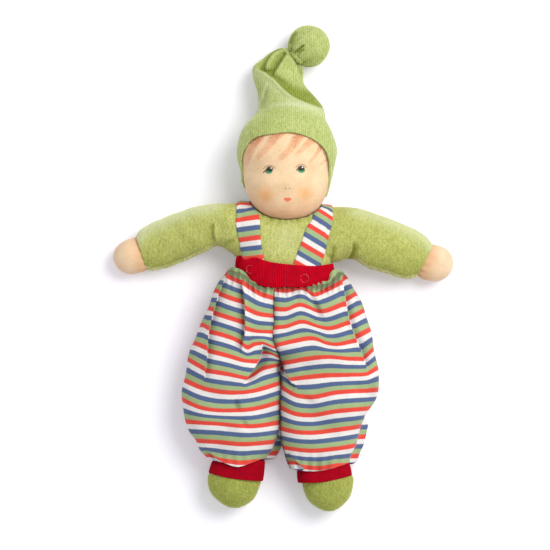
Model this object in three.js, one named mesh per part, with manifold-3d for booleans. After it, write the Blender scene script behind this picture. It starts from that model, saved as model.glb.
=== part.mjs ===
// A soft cloth doll lying on its back: a wool-stuffed velour body with a tied head, a pointed cap
// that ends in a tied-off pompom, and striped jersey trousers with a ribbed waistband, ribbed ankle
// cuffs and two shoulder straps held by ring snaps.
// Millimetres. +X is the right of the view onto the face, +Y runs from the feet to the cap and +Z
// is up, from the doll's back to its face. Left and right in names are the doll's own.

import * as THREE from "three";
import { mergeVertices } from "three/addons/utils/BufferGeometryUtils.js";
import Module from "manifold-3d";

const wasm = await Module();
wasm.setup();

// Cloths, threads and the clearances between layers
const VELOUR = 1.2;
const SKIN_TRICOT = 0.8;
const JERSEY = 1.0;
const STRAP_THICKNESS = 1.4;
const RIB_KNIT = 1.6;
const LAYER_GAP = 0.3;
const SOCKET_GAP = 0.6;
const FLAT_CUT = 0.5;
const OVERRUN = 30;
const CUTTER_REACH = 500;

// Torso
const TORSO_TOP_Y = 57;
const TORSO_LENGTH = 122;
const TORSO_HALF_WIDTH = 56;
const TORSO_HALF_DEPTH = 28;
const TORSO_MIDDLE_Z = 32;
const SIDE_GROWTH_SHARE = 1.15;
const FRONT_GROWTH_SHARE = 1.05;
const EVEN_RING_SHARE = 0.4;

// Head and neck
const HEAD_AXIS_X = 3.5;
const HEAD_CHIN_Y = 45.6;
const HEAD_LENGTH = 93.4;
const HEAD_HALF_WIDTH = 43.5;
const HEAD_HALF_DEPTH = 40.5;
const NECK_RADIUS = 9;
const NECK_LENGTH = 13;
const NECK_THREAD_DIAMETER = 2;

// Cap
const CAP_VELOUR = 1.7;
const CAP_NAPE_Y = 60;
const CAP_RIM_TILT_DEG = 30;
const CAP_RIM_FORWARD = 9;
const CAP_TAIL_LENGTH = 92;
const CAP_TAIL_HALF_WIDTH = 44;
const CAP_TIE_X = 8;
const CAP_TIE_Y = 190.5;
const CAP_THREAD_DIAMETER = 1.6;
const POMPOM_RADIUS = 18.5;
const POMPOM_LEAN_DEG = 44;
const POMPOM_NUB_RADIUS = 2.4;
const POMPOM_NUB_LENGTH = 4.4;
const POMPOM_SWAY = 1;

// Arms
const SHOULDER_X = 60;
const SHOULDER_Y = 36;
const SHOULDER_Z = 31;
const SHOULDER_HALF_WIDTH = 24;
const SHOULDER_HALF_DEPTH = 20;
const SLEEVE_LENGTH = 77;
const SLEEVE_DROOP_DEG = 17;
const SLEEVE_STRAIGHT_SHARE = 0.2;
const SLEEVE_TAPER_POWER = 1.2;
const WRIST_HALF_WIDTH = 17;
const WRIST_HALF_DEPTH = 15.5;
const WRIST_Z = 17.5;
const HAND_LENGTH = 26;
const HAND_SHANK = 11;
const HAND_HALF_WIDTH = 15.6;
const HAND_HALF_DEPTH = 14.6;
const ARM_RAISE_DEG = 60;
const ARM_LOWER_DEG = 30;

// Legs
const HIP_X = 31;
const HIP_Y = -57.5;
const HIP_Z = 29;
const HIP_RADIUS = 22.5;
const LEG_LENGTH = 148;
const LEG_SPLAY_DEG = 5;
const ANKLE_Z = 24;
const FOOT_HALF_WIDTH = 23.5;
const FOOT_HALF_DEPTH = 21.5;
const FOOT_ROUND = 20;
const STUFFING_HOLE_RADIUS = 8;
const LEG_LIFT_DEG = 75;

// Trousers
const BAND_TOP_Y = 6;
const BAND_HEIGHT = 19.5;
const BAND_TILT_DEG = 4;
const SEAM_X = -4.5;
const TROUSER_LENGTH = 169;
const TROUSER_HALF_WIDTH = 90;
const TROUSER_DEPTH = 68;
const PLEAT_HEIGHT = 2.2;
const PLEAT_COUNT = 9;
const PLEAT_FADE_SHARE = 0.16;
const HEM_FADE_SHARE = 0.1;
const WAIST_HOLLOW_DEPTH = 4;
const CUFF_HEIGHT = 13;
const CUFF_RIB = 1.9;

// Straps and snaps
const STRAP_TOP_X = 34.7;
const STRAP_WAIST_X = 25.8;
const STRAP_WAIST_SHIFT = -2.5;
const STRAP_WIDTH = 22.5;
const STRAP_END = 5;
const STRAP_SHOULDER = 12;
const SNAP_RING_RADIUS = 4.1;
const SNAP_RING_BORE = 2.6;
const SNAP_RING_HEIGHT = 1;
const SNAP_SOCKET_RADIUS = 3.2;
const SNAP_NUB_RADIUS = 1.3;
const SNAP_MIDDLE_Y = -5.2;
const SNAP_TILT_DEG = 9.8;

// Facets round a form
const TORSO_SIDES = 24;
const HEAD_SIDES = 24;
const LIMB_SIDES = 16;
const TROUSER_SIDES = 32;
const INSIDE_SIDES = 12;
const WOOL_ROOT_SIDES = 10;
const ROUND_SIDES = 10;
const BALL_SIDES = 18;
const ROOT_SIDES = 18;
const DOME_STEPS = 3;
const THREAD_SIDES = 5;

// Directions and helpers
const X = new THREE.Vector3(1, 0, 0);
const Y = new THREE.Vector3(0, 1, 0);
const Z = new THREE.Vector3(0, 0, 1);
const radians = THREE.MathUtils.degToRad;

// A closed three.js geometry as a solid that can be cut and joined.
function solidOf(geometry) {
  const bare = new THREE.BufferGeometry();
  const source = geometry.index ? geometry.toNonIndexed() : geometry;
  bare.setAttribute("position", source.getAttribute("position"));
  const merged = mergeVertices(bare, 1e-4);
  return new wasm.Manifold(
    new wasm.Mesh({
      numProp: 3,
      vertProperties: new Float32Array(merged.attributes.position.array),
      triVerts: new Uint32Array(merged.index.array),
    }),
  );
}

// A closed loft through rings of equally many points, closed at each end by a fan to a tip.
function loft(rings, startTip, endTip) {
  const sides = rings[0].length;
  const points = rings.flat().concat([startTip, endTip]);
  const start = points.length - 2;
  const end = points.length - 1;
  const faces = [];
  for (let j = 0; j < sides; j++) {
    const next = (j + 1) % sides;
    for (let i = 0; i + 1 < rings.length; i++) {
      const near = i * sides;
      const far = near + sides;
      faces.push(near + j, near + next, far + next, near + j, far + next, far + j);
    }
    const last = (rings.length - 1) * sides;
    faces.push(start, next, j, end, last + j, last + next);
  }
  const geometry = new THREE.BufferGeometry();
  geometry.setAttribute(
    "position",
    new THREE.Float32BufferAttribute(points.flatMap((p) => p.toArray()), 3),
  );
  geometry.setIndex(faces);
  return solidOf(geometry);
}

// One rounded section: an ellipse whose power above 2 makes it boxier.
function section(centre, side, depth, halfSide, halfDepth, sides, power = 2) {
  const bend = (value) => Math.sign(value) * Math.abs(value) ** (2 / power);
  return Array.from({ length: sides }, (_, j) => {
    const angle = (j / sides) * 2 * Math.PI;
    return centre
      .clone()
      .addScaledVector(side, halfSide * bend(Math.cos(angle)))
      .addScaledVector(depth, halfDepth * bend(Math.sin(angle)));
  });
}

// A smooth value from a table of shares, whose first column is the share along the form.
function fromShares(shares, along, column) {
  let i = 0;
  while (i < shares.length - 2 && along > shares[i + 1][0]) i++;
  const at = (k) => shares[Math.min(Math.max(k, 0), shares.length - 1)];
  const slope = (k) => {
    const run = at(k + 1)[0] - at(k - 1)[0];
    return run > 0 ? (at(k + 1)[column] - at(k - 1)[column]) / run : 0;
  };
  const span = at(i + 1)[0] - at(i)[0];
  const t = Math.min(Math.max((along - at(i)[0]) / span, 0), 1);
  const [p, q] = [at(i)[column], at(i + 1)[column]];
  return (
    p * (2 * t ** 3 - 3 * t ** 2 + 1) +
    slope(i) * span * (t ** 3 - 2 * t ** 2 + t) +
    q * (3 * t ** 2 - 2 * t ** 3) +
    slope(i + 1) * span * (t ** 3 - t ** 2)
  );
}

// A box as a cutter, between two corners.
function block(low, high) {
  const size = high.clone().sub(low);
  const geometry = new THREE.BoxGeometry(size.x, size.y, size.z);
  const middle = low.clone().add(high).multiplyScalar(1 / 2);
  return solidOf(geometry.translate(middle.x, middle.y, middle.z));
}

// A round bar from one point to another.
function bar(from, to, radius, sides = ROUND_SIDES) {
  const run = to.clone().sub(from);
  const geometry = new THREE.CylinderGeometry(radius, radius, run.length(), sides);
  geometry.applyQuaternion(new THREE.Quaternion().setFromUnitVectors(Y, run.clone().normalize()));
  const middle = from.clone().add(to).multiplyScalar(1 / 2);
  return solidOf(geometry.translate(middle.x, middle.y, middle.z));
}

// A turned profile of [radius, height] points, standing on a point with its axis along a direction.
function turned(profile, foot, axis, sides = ROUND_SIDES) {
  const points = profile.map(([radius, height]) => new THREE.Vector2(radius, height));
  const geometry = new THREE.LatheGeometry(points, sides);
  geometry.applyQuaternion(new THREE.Quaternion().setFromUnitVectors(Y, axis));
  return solidOf(geometry.translate(foot.x, foot.y, foot.z));
}

// A thread wound round a neck: a ring of round section.
function threadRing(centre, axis, radius, diameter) {
  const geometry = new THREE.TorusGeometry(radius, diameter / 2, THREAD_SIDES, LIMB_SIDES);
  geometry.applyQuaternion(new THREE.Quaternion().setFromUnitVectors(Z, axis));
  return solidOf(geometry.translate(centre.x, centre.y, centre.z));
}

// Cut a solid flat on the surface that the doll lies on.
const floorCut = block(
  new THREE.Vector3(-CUTTER_REACH, -CUTTER_REACH, -OVERRUN),
  new THREE.Vector3(CUTTER_REACH, CUTTER_REACH, 0),
);

function cutFlat(solid) {
  return solid.subtract(floorCut);
}

// Turn a solid about an axis through a point.
function turnedAbout(solid, pivot, axis, degrees) {
  const matrix = new THREE.Matrix4()
    .makeTranslation(pivot.x, pivot.y, pivot.z)
    .multiply(new THREE.Matrix4().makeRotationAxis(axis, radians(degrees)))
    .multiply(new THREE.Matrix4().makeTranslation(-pivot.x, -pivot.y, -pivot.z));
  return solid.transform(matrix.elements);
}

// Head: radii along the axis from the chin to the crown
const HEAD_SHARES = [
  [0.02, 0.2, 0.2],
  [0.05, 0.44, 0.45],
  [0.12, 0.67, 0.69],
  [0.22, 0.82, 0.85],
  [0.35, 0.91, 0.95],
  [0.5, 0.96, 1],
  [0.65, 1, 1],
  [0.76, 0.96, 0.95],
  [0.88, 0.77, 0.76],
  [0.96, 0.46, 0.45],
  [0.99, 0.2, 0.2],
];
const HEAD_RINGS = 11;
const HEAD_AXIS_Z = HEAD_HALF_DEPTH + LAYER_GAP + CAP_VELOUR - FLAT_CUT;
const headPoint = (y) => new THREE.Vector3(HEAD_AXIS_X, y, HEAD_AXIS_Z);

// The head's form, grown by a layer outwards, or inset where grow is below zero.
function headForm(grow, sides = HEAD_SIDES) {
  const rings = [];
  for (let i = 0; i < HEAD_RINGS; i++) {
    const first = HEAD_SHARES[0][0];
    const last = HEAD_SHARES[HEAD_SHARES.length - 1][0];
    const spread = (1 - Math.cos((i / (HEAD_RINGS - 1)) * Math.PI)) / 2;
    const along = last + (first - last) * spread;
    const length = HEAD_LENGTH + 2 * grow;
    const centre = headPoint(HEAD_CHIN_Y - grow + along * length);
    const halfWidth = fromShares(HEAD_SHARES, along, 1) * (HEAD_HALF_WIDTH + grow);
    const halfDepth = fromShares(HEAD_SHARES, along, 2) * (HEAD_HALF_DEPTH + grow);
    rings.push(section(centre, X, Z, halfWidth, halfDepth, sides));
  }
  return loft(
    rings,
    headPoint(HEAD_CHIN_Y + HEAD_LENGTH + grow),
    headPoint(HEAD_CHIN_Y - grow),
  );
}

// The room that the lower head sweeps when it turns on the neck.
function headSweep(clearance) {
  const profile = [[0, HEAD_CHIN_Y - clearance]];
  for (const [along, widthShare] of HEAD_SHARES.slice(0, 6)) {
    const radius = widthShare * HEAD_HALF_WIDTH + clearance;
    profile.push([radius, HEAD_CHIN_Y + along * HEAD_LENGTH - clearance / 2]);
  }
  const top = profile[profile.length - 1];
  profile.push([top[0], top[1] + OVERRUN], [0, top[1] + OVERRUN]);
  return turned(profile, new THREE.Vector3(HEAD_AXIS_X, 0, HEAD_AXIS_Z), Y, HEAD_SIDES);
}

const neckEndY = HEAD_CHIN_Y - NECK_LENGTH;
const neckThreadY = HEAD_CHIN_Y - NECK_THREAD_DIAMETER;
const neckPocketRadius = NECK_RADIUS + NECK_THREAD_DIAMETER + 2 * LAYER_GAP;
const neckPocketY = neckThreadY - NECK_THREAD_DIAMETER / 2 - LAYER_GAP * 2;

// The hole in the torso that takes the neck and its thread.
function neckHole(clearance) {
  return bar(
    headPoint(neckEndY - clearance),
    headPoint(TORSO_TOP_Y + OVERRUN),
    NECK_RADIUS + clearance,
  ).add(
    bar(
      headPoint(neckPocketY),
      headPoint(TORSO_TOP_Y + OVERRUN),
      neckPocketRadius - LAYER_GAP + clearance,
    ),
  );
}

const headOuter = headForm(0).add(
  bar(headPoint(neckEndY), headPoint(HEAD_CHIN_Y + OVERRUN), NECK_RADIUS),
);
const headInner = headForm(-SKIN_TRICOT, INSIDE_SIDES).add(
  bar(
    headPoint(neckEndY - OVERRUN),
    headPoint(HEAD_CHIN_Y + OVERRUN),
    NECK_RADIUS - SKIN_TRICOT,
  ),
);
const coreInset = SKIN_TRICOT + LAYER_GAP;
const headSkin = headOuter.subtract(headInner);
const headCore = headForm(-coreInset, INSIDE_SIDES).add(
  bar(headPoint(neckEndY), headPoint(HEAD_CHIN_Y + OVERRUN), NECK_RADIUS - coreInset),
);
const neckThread = threadRing(
  headPoint(neckThreadY),
  Y,
  NECK_RADIUS + LAYER_GAP + NECK_THREAD_DIAMETER / 2,
  NECK_THREAD_DIAMETER,
);

// Cap: half widths and depths up its tail, and how far the tail's middle leans aside and back
const CAP_TAIL_SHARES = [
  [0, 0.94, 0.9, -0.06, 1],
  [0.14, 0.98, 0.88, -0.05, 0.99],
  [0.3, 0.87, 0.75, 0, 0.9],
  [0.46, 0.73, 0.6, 0.02, 0.76],
  [0.6, 0.63, 0.5, -0.05, 0.62],
  [0.74, 0.55, 0.42, -0.17, 0.5],
  [0.86, 0.45, 0.33, -0.19, 0.42],
  [0.94, 0.3, 0.24, -0.1, 0.4],
  [1, 0.105, 0.105, 0, 0.42],
];
const CAP_TAIL_RINGS = 12;
const capTieZ = POMPOM_RADIUS - FLAT_CUT;
const capTie = new THREE.Vector3(CAP_TIE_X, CAP_TIE_Y, capTieZ);

// The cap's tail above the crown, which leans to one side and lies back towards its tie.
function capTail(grow) {
  const rings = [];
  for (let i = 0; i < CAP_TAIL_RINGS; i++) {
    const along = 1 - i / (CAP_TAIL_RINGS - 1);
    const lean = fromShares(CAP_TAIL_SHARES, along, 3) - CAP_TAIL_SHARES[CAP_TAIL_SHARES.length - 1][3];
    const rise = fromShares(CAP_TAIL_SHARES, along, 4);
    const restRise = CAP_TAIL_SHARES[CAP_TAIL_SHARES.length - 1][4];
    const centre = new THREE.Vector3(
      CAP_TIE_X + (HEAD_AXIS_X - CAP_TIE_X) * (1 - along) + lean * CAP_TAIL_HALF_WIDTH,
      CAP_TIE_Y + 2 * grow - CAP_TAIL_LENGTH * (1 - along),
      capTieZ + ((HEAD_AXIS_Z - capTieZ) * (rise - restRise)) / (1 - restRise),
    );
    const halfWidth = fromShares(CAP_TAIL_SHARES, along, 1) * CAP_TAIL_HALF_WIDTH + grow;
    const halfDepth = fromShares(CAP_TAIL_SHARES, along, 2) * CAP_TAIL_HALF_WIDTH + grow;
    rings.push(section(centre, X, Z, halfWidth, halfDepth, HEAD_SIDES));
  }
  return loft(
    rings,
    capTie.clone().addScaledVector(Y, 2 * grow),
    headPoint(CAP_TIE_Y + 2 * grow - CAP_TAIL_LENGTH),
  );
}

const pompomAim = new THREE.Vector3(
  Math.sin(radians(POMPOM_LEAN_DEG)),
  Math.cos(radians(POMPOM_LEAN_DEG)),
  0,
);

// The plane of the cap's rim over the forehead faces down and forwards from the head's middle.
const headMiddle = headPoint(HEAD_CHIN_Y + HEAD_LENGTH / 2);
const rimCutter = turnedAbout(
  block(
    headMiddle.clone().add(new THREE.Vector3(-CUTTER_REACH, -CUTTER_REACH, CAP_RIM_FORWARD)),
    headMiddle.clone().add(new THREE.Vector3(CUTTER_REACH, CUTTER_REACH, CUTTER_REACH)),
  ),
  headMiddle,
  X,
  CAP_RIM_TILT_DEG,
);
const napeCutter = block(
  new THREE.Vector3(-CUTTER_REACH, -CUTTER_REACH, -CUTTER_REACH),
  new THREE.Vector3(CUTTER_REACH, CAP_NAPE_Y, CUTTER_REACH),
);
const capOuter = headForm(LAYER_GAP + CAP_VELOUR).add(capTail(0));
const capInner = headForm(LAYER_GAP).add(capTail(-CAP_VELOUR));
const tieEnd = bar(
  capTie,
  capTie.clone().addScaledVector(pompomAim, POMPOM_RADIUS),
  POMPOM_RADIUS,
);
const cap = cutFlat(
  capOuter.subtract(capInner).subtract(rimCutter).subtract(napeCutter).subtract(tieEnd),
);

// Pompom: a stuffed ball beyond the tie, with a thin nub that the thread holds
const pompomCentre = capTie.clone().addScaledVector(pompomAim, POMPOM_RADIUS + POMPOM_NUB_LENGTH);

function ball(centre, radius, sides = BALL_SIDES) {
  const geometry = new THREE.SphereGeometry(radius, sides, (sides * 3) / 5);
  return solidOf(geometry.translate(centre.x, centre.y, centre.z));
}

const nubFoot = capTie.clone().addScaledVector(pompomAim, LAYER_GAP * 2);
const pompom = cutFlat(
  ball(pompomCentre, POMPOM_RADIUS)
    .add(bar(nubFoot, pompomCentre, POMPOM_NUB_RADIUS))
    .subtract(ball(pompomCentre, POMPOM_RADIUS - VELOUR, INSIDE_SIDES))
    .subtract(bar(capTie, pompomCentre, POMPOM_NUB_RADIUS - VELOUR)),
);
const pompomWool = ball(pompomCentre, POMPOM_RADIUS - VELOUR - LAYER_GAP, INSIDE_SIDES);
const capThread = threadRing(
  capTie.clone().addScaledVector(pompomAim, LAYER_GAP + CAP_THREAD_DIAMETER / 2),
  pompomAim,
  POMPOM_NUB_RADIUS + POMPOM_SWAY + CAP_THREAD_DIAMETER / 2,
  CAP_THREAD_DIAMETER,
);

// Limbs
const armAim = (side) =>
  new THREE.Vector3(
    side * Math.cos(radians(SLEEVE_DROOP_DEG)),
    -Math.sin(radians(SLEEVE_DROOP_DEG)),
    0,
  );
const legAim = (side) =>
  new THREE.Vector3(
    side * Math.sin(radians(LEG_SPLAY_DEG)),
    -Math.cos(radians(LEG_SPLAY_DEG)),
    0,
  );
const shoulder = (side) => new THREE.Vector3(side * SHOULDER_X, SHOULDER_Y, SHOULDER_Z);
const hip = (side) => new THREE.Vector3(side * HIP_X, HIP_Y, HIP_Z);

// Places along a sleeve, and a leg's half widths and depths, from the root to the end
const SLEEVE_PLACE_SHARES = [0, 0.2, 0.5, 0.8, 1];
const LEG_SHARES = [
  [0, 1, 1],
  [0.25, 1, 1],
  [0.55, 0.99, 0.99],
  [0.8, 0.96, 0.95],
  [0.92, 1, 0.97],
  [1, 1.03, 0.95],
];
const LIMB_RINGS = 6;
const ROOT_TUBE_SHARE = 0.985;
const DOME_START_SHARE = 0.25;
const HAND_ROUND_SHARE = 2 / 3;

// A limb's form: a round root about its joint, a body along its aim, and a round or a flat end.
function limbForm(limb, grow, sides = LIMB_SIDES) {
  const side = Z.clone().cross(limb.aim);
  const ring = (along, halfWidth, halfDepth, z) => {
    const centre = limb.root.clone().addScaledVector(limb.aim, along);
    centre.z = z;
    return section(centre, side, Z, halfWidth, halfDepth, sides);
  };
  const rings = [];
  const rootReach = limb.halfWidth + grow;
  for (let i = DOME_STEPS; i > 0; i--) {
    const angle = ((i - DOME_START_SHARE) / DOME_STEPS) * (Math.PI / 2);
    const narrow = Math.cos(angle);
    rings.push(
      ring(
        -rootReach * Math.sin(angle),
        rootReach * narrow,
        (limb.halfDepth + grow) * narrow,
        limb.root.z,
      ),
    );
  }
  const straight = limb.length - limb.endRound;
  for (let i = 0; i < LIMB_RINGS; i++) {
    const along = i / (LIMB_RINGS - 1);
    rings.push(
      ring(
        straight * along,
        fromShares(limb.shares, along, 1) * limb.halfWidth + grow,
        fromShares(limb.shares, along, 2) * limb.halfDepth + grow,
        limb.root.z + (limb.endZ - limb.root.z) * along,
      ),
    );
  }
  const endWidth = limb.shares[limb.shares.length - 1][1] * limb.halfWidth + grow;
  const endDepth = limb.shares[limb.shares.length - 1][2] * limb.halfDepth + grow;
  const endReach = limb.endRound > 0 ? limb.endRound + grow : 0;
  for (let i = 1; i <= DOME_STEPS && endReach > 0; i++) {
    const angle = ((i - DOME_START_SHARE) / DOME_STEPS) * (Math.PI / 2);
    const narrow = Math.cos(angle);
    const along = straight + endReach * Math.sin(angle);
    rings.push(ring(along, endWidth * narrow, endDepth * narrow, limb.endZ));
  }
  const startTip = limb.root.clone().addScaledVector(limb.aim, -rootReach);
  const endTip = limb.root.clone().addScaledVector(limb.aim, straight + endReach);
  endTip.z = limb.endZ;
  return loft(rings, startTip, endTip);
}

const armLimb = (side) => ({
  root: shoulder(side),
  aim: armAim(side),
  length: SLEEVE_LENGTH,
  halfWidth: SHOULDER_HALF_WIDTH,
  halfDepth: SHOULDER_HALF_DEPTH,
  shares: SLEEVE_PLACE_SHARES.map((along) => {
    const past = Math.max(0, along - SLEEVE_STRAIGHT_SHARE) / (1 - SLEEVE_STRAIGHT_SHARE);
    const slim = past ** SLEEVE_TAPER_POWER;
    return [
      along,
      1 + (WRIST_HALF_WIDTH / SHOULDER_HALF_WIDTH - 1) * slim,
      1 + (WRIST_HALF_DEPTH / SHOULDER_HALF_DEPTH - 1) * slim,
    ];
  }),
  endZ: WRIST_Z,
  endRound: 0,
});
const legLimb = (side) => ({
  root: hip(side),
  aim: legAim(side),
  length: LEG_LENGTH + FOOT_ROUND,
  halfWidth: HIP_RADIUS,
  halfDepth: HIP_RADIUS,
  shares: LEG_SHARES.map(([along, widthShare, depthShare]) => [
    along,
    along < 1 ? widthShare : FOOT_HALF_WIDTH / HIP_RADIUS,
    along < 1 ? depthShare : FOOT_HALF_DEPTH / HIP_RADIUS,
  ]),
  endZ: ANKLE_Z,
  endRound: FOOT_ROUND,
});

// The hand: a shank inside the sleeve and a round end beyond it.
function handForm(side, grow, shank = HAND_SHANK, sides = LIMB_SIDES) {
  const aim = armAim(side);
  const wrist = shoulder(side).addScaledVector(aim, SLEEVE_LENGTH);
  wrist.z = WRIST_Z;
  const across = Z.clone().cross(aim);
  const shankWidth = WRIST_HALF_WIDTH - VELOUR - LAYER_GAP + grow;
  const shankDepth = WRIST_HALF_DEPTH - VELOUR - LAYER_GAP + grow;
  const roundReach = HAND_LENGTH * HAND_ROUND_SHARE;
  const ring = (along, halfWidth, halfDepth) => {
    const centre = wrist.clone().addScaledVector(aim, along);
    const sunk = THREE.MathUtils.clamp(along / (HAND_LENGTH - roundReach), 0, 1);
    centre.z = WRIST_Z + (HAND_HALF_DEPTH - FLAT_CUT - WRIST_Z) * sunk;
    return section(centre, across, Z, halfWidth, halfDepth, sides);
  };
  const rings = [
    ring(-shank, shankWidth, shankDepth),
    ring(0, shankWidth, shankDepth),
  ];
  for (let i = 0; i <= DOME_STEPS; i++) {
    const angle = (Math.max(0, i - DOME_START_SHARE) / DOME_STEPS) * (Math.PI / 2);
    rings.push(
      ring(
        HAND_LENGTH - roundReach + (roundReach + grow) * Math.sin(angle),
        (HAND_HALF_WIDTH + grow) * Math.cos(angle),
        (HAND_HALF_DEPTH + grow) * Math.cos(angle),
      ),
    );
  }
  const startTip = wrist.clone().addScaledVector(aim, -shank);
  const endTip = wrist.clone().addScaledVector(aim, HAND_LENGTH + grow);
  endTip.z = HAND_HALF_DEPTH - FLAT_CUT;
  return loft(rings, startTip, endTip);
}

// The room that a limb's root sweeps: a ball about its joint and a tube at each end of its range.
function rootSweep(limb, clearance, reach, axis, stops, sides) {
  const facetShare = Math.cos(Math.PI / sides) ** 2;
  const halfWidth = (limb.halfWidth + clearance) / facetShare;
  const halfDepth = (limb.halfDepth + clearance) / facetShare;
  const round = new THREE.SphereGeometry(1, sides, sides / 2).rotateX(Math.PI / 2);
  round.scale(halfWidth, halfWidth, halfDepth).translate(limb.root.x, limb.root.y, limb.root.z);
  let sweep = solidOf(round);
  const across = Z.clone().cross(limb.aim);
  const rings = [0, reach].map((along) =>
    section(
      limb.root.clone().addScaledVector(limb.aim, along),
      across,
      Z,
      halfWidth * ROOT_TUBE_SHARE,
      halfDepth * ROOT_TUBE_SHARE,
      sides,
    ),
  );
  const tube = loft(rings, limb.root, limb.root.clone().addScaledVector(limb.aim, reach));
  for (const degrees of stops) {
    sweep = sweep.add(turnedAbout(tube, limb.root, axis, degrees));
  }
  return sweep;
}

const armReach = SHOULDER_HALF_WIDTH * 2;
const legReach = HIP_RADIUS * 3;
const armAxis = (side) => Z.clone().multiplyScalar(side);
const armStops = [-ARM_LOWER_DEG, ARM_RAISE_DEG];
const armSweep = (side, clearance, sides = ROOT_SIDES) =>
  rootSweep(armLimb(side), clearance, armReach, armAxis(side), armStops, sides);
const legSweep = (side, clearance, sides = ROOT_SIDES) =>
  rootSweep(legLimb(side), clearance, legReach, X.clone().negate(), [LEG_LIFT_DEG], sides);

// Torso: half widths and depths from the shoulders down to the crotch
const TORSO_SHARES = [
  [0.004, 0.5, 0.36],
  [0.03, 0.78, 0.62],
  [0.08, 0.92, 0.82],
  [0.15, 0.99, 0.93],
  [0.24, 0.93, 0.98],
  [0.34, 0.83, 0.98],
  [0.45, 0.795, 0.98],
  [0.56, 0.805, 1],
  [0.68, 0.83, 1],
  [0.8, 0.8, 0.9],
  [0.9, 0.68, 0.72],
  [0.97, 0.43, 0.43],
  [0.995, 0.16, 0.2],
];
const TORSO_RINGS = 14;
const TORSO_POWER = 2.4;

// The torso's plain form, before the head and the limbs press into it.
function torsoForm(grow, sides = TORSO_SIDES) {
  const rings = [];
  const first = TORSO_SHARES[0][0];
  const last = TORSO_SHARES[TORSO_SHARES.length - 1][0];
  for (let i = 0; i < TORSO_RINGS; i++) {
    const even = i / (TORSO_RINGS - 1);
    const eased = (1 - Math.cos(even * Math.PI)) / 2;
    const along = first + (last - first) * (eased + (even - eased) * EVEN_RING_SHARE);
    const centre = new THREE.Vector3(
      0,
      TORSO_TOP_Y + grow - along * (TORSO_LENGTH + 2 * grow),
      TORSO_MIDDLE_Z,
    );
    const halfWidth = fromShares(TORSO_SHARES, along, 1) * (TORSO_HALF_WIDTH + grow * SIDE_GROWTH_SHARE);
    const halfDepth = fromShares(TORSO_SHARES, along, 2) * (TORSO_HALF_DEPTH + grow * FRONT_GROWTH_SHARE);
    rings.push(section(centre, X, Z, halfWidth, halfDepth, sides, TORSO_POWER));
  }
  return loft(
    rings,
    new THREE.Vector3(0, TORSO_TOP_Y + grow, TORSO_MIDDLE_Z),
    new THREE.Vector3(0, TORSO_TOP_Y - TORSO_LENGTH - grow, TORSO_MIDDLE_Z),
  );
}

// The torso with the hollows that the head, the arms and the legs need, all inset alike.
function torsoSolid(inset, sides, rootSides) {
  const clearance = SOCKET_GAP + inset;
  let solid = torsoForm(-inset, sides).subtract(headSweep(clearance));
  for (const side of [-1, 1]) {
    solid = solid.subtract(armSweep(side, clearance, rootSides));
    solid = solid.subtract(legSweep(side, clearance, rootSides));
  }
  return solid;
}

const torsoCover = torsoSolid(0, TORSO_SIDES, ROOT_SIDES)
  .subtract(torsoSolid(VELOUR, LIMB_SIDES, WOOL_ROOT_SIDES))
  .subtract(neckHole(LAYER_GAP));
const torsoWool = torsoSolid(VELOUR + LAYER_GAP, LIMB_SIDES, WOOL_ROOT_SIDES).subtract(
  neckHole(LAYER_GAP * 2),
);

// A band about the torso's form, between two growths, kept between two heights and tilted.
const bandTilt = (solid) => turnedAbout(solid, new THREE.Vector3(0, BAND_TOP_Y, 0), Z, -BAND_TILT_DEG);
const strapOuter = LAYER_GAP + STRAP_THICKNESS;
const bandInner = strapOuter + LAYER_GAP;
const bandOuter = bandInner + RIB_KNIT;
const slab = (topY, bottomY) =>
  bandTilt(
    block(
      new THREE.Vector3(-CUTTER_REACH, bottomY, -OVERRUN),
      new THREE.Vector3(CUTTER_REACH, topY, CUTTER_REACH),
    ),
  );
const bandBottomY = BAND_TOP_Y - BAND_HEIGHT;
let waistband = torsoForm(bandOuter)
  .subtract(torsoForm(bandInner))
  .intersect(slab(BAND_TOP_Y, bandBottomY));

// Where a snap closes its strap on the waistband, seen from the front.
function snapPlace(side) {
  const x = STRAP_WAIST_SHIFT + side * STRAP_WAIST_X;
  return { x, y: SNAP_MIDDLE_Y - side * STRAP_WAIST_X * Math.tan(radians(SNAP_TILT_DEG)) };
}

// A strap's outline seen from the front: it slants in from the shoulder to its snap.
function strapOutline(side) {
  const shape = new THREE.Shape();
  const snap = snapPlace(side);
  const middle = (y) => {
    const up = Math.min((y - snap.y) / (TORSO_TOP_Y - snap.y), 1);
    return snap.x + (side * STRAP_TOP_X - snap.x) * up;
  };
  const rows = [snap.y - STRAP_END, TORSO_TOP_Y - STRAP_SHOULDER, TORSO_TOP_Y + OVERRUN];
  const inner = rows.map((y) => [middle(y) - (side * STRAP_WIDTH) / 2, y]);
  const outer = rows.map((y) => [middle(y) + (side * STRAP_WIDTH) / 2, y]).reverse();
  inner.concat(outer).forEach(([x, y], i) => (i ? shape.lineTo(x, y) : shape.moveTo(x, y)));
  shape.closePath();
  const geometry = new THREE.ExtrudeGeometry(shape, { depth: CUTTER_REACH, bevelEnabled: false });
  return solidOf(geometry.translate(0, 0, -OVERRUN));
}

const strapLayer = torsoForm(strapOuter).subtract(torsoForm(LAYER_GAP));
const straps = new Map(
  [-1, 1].map((side) => {
    const strap = strapLayer
      .intersect(strapOutline(side))
      .subtract(headSweep(SOCKET_GAP))
      .subtract(armSweep(side, SOCKET_GAP));
    return [side, strap];
  }),
);

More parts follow.
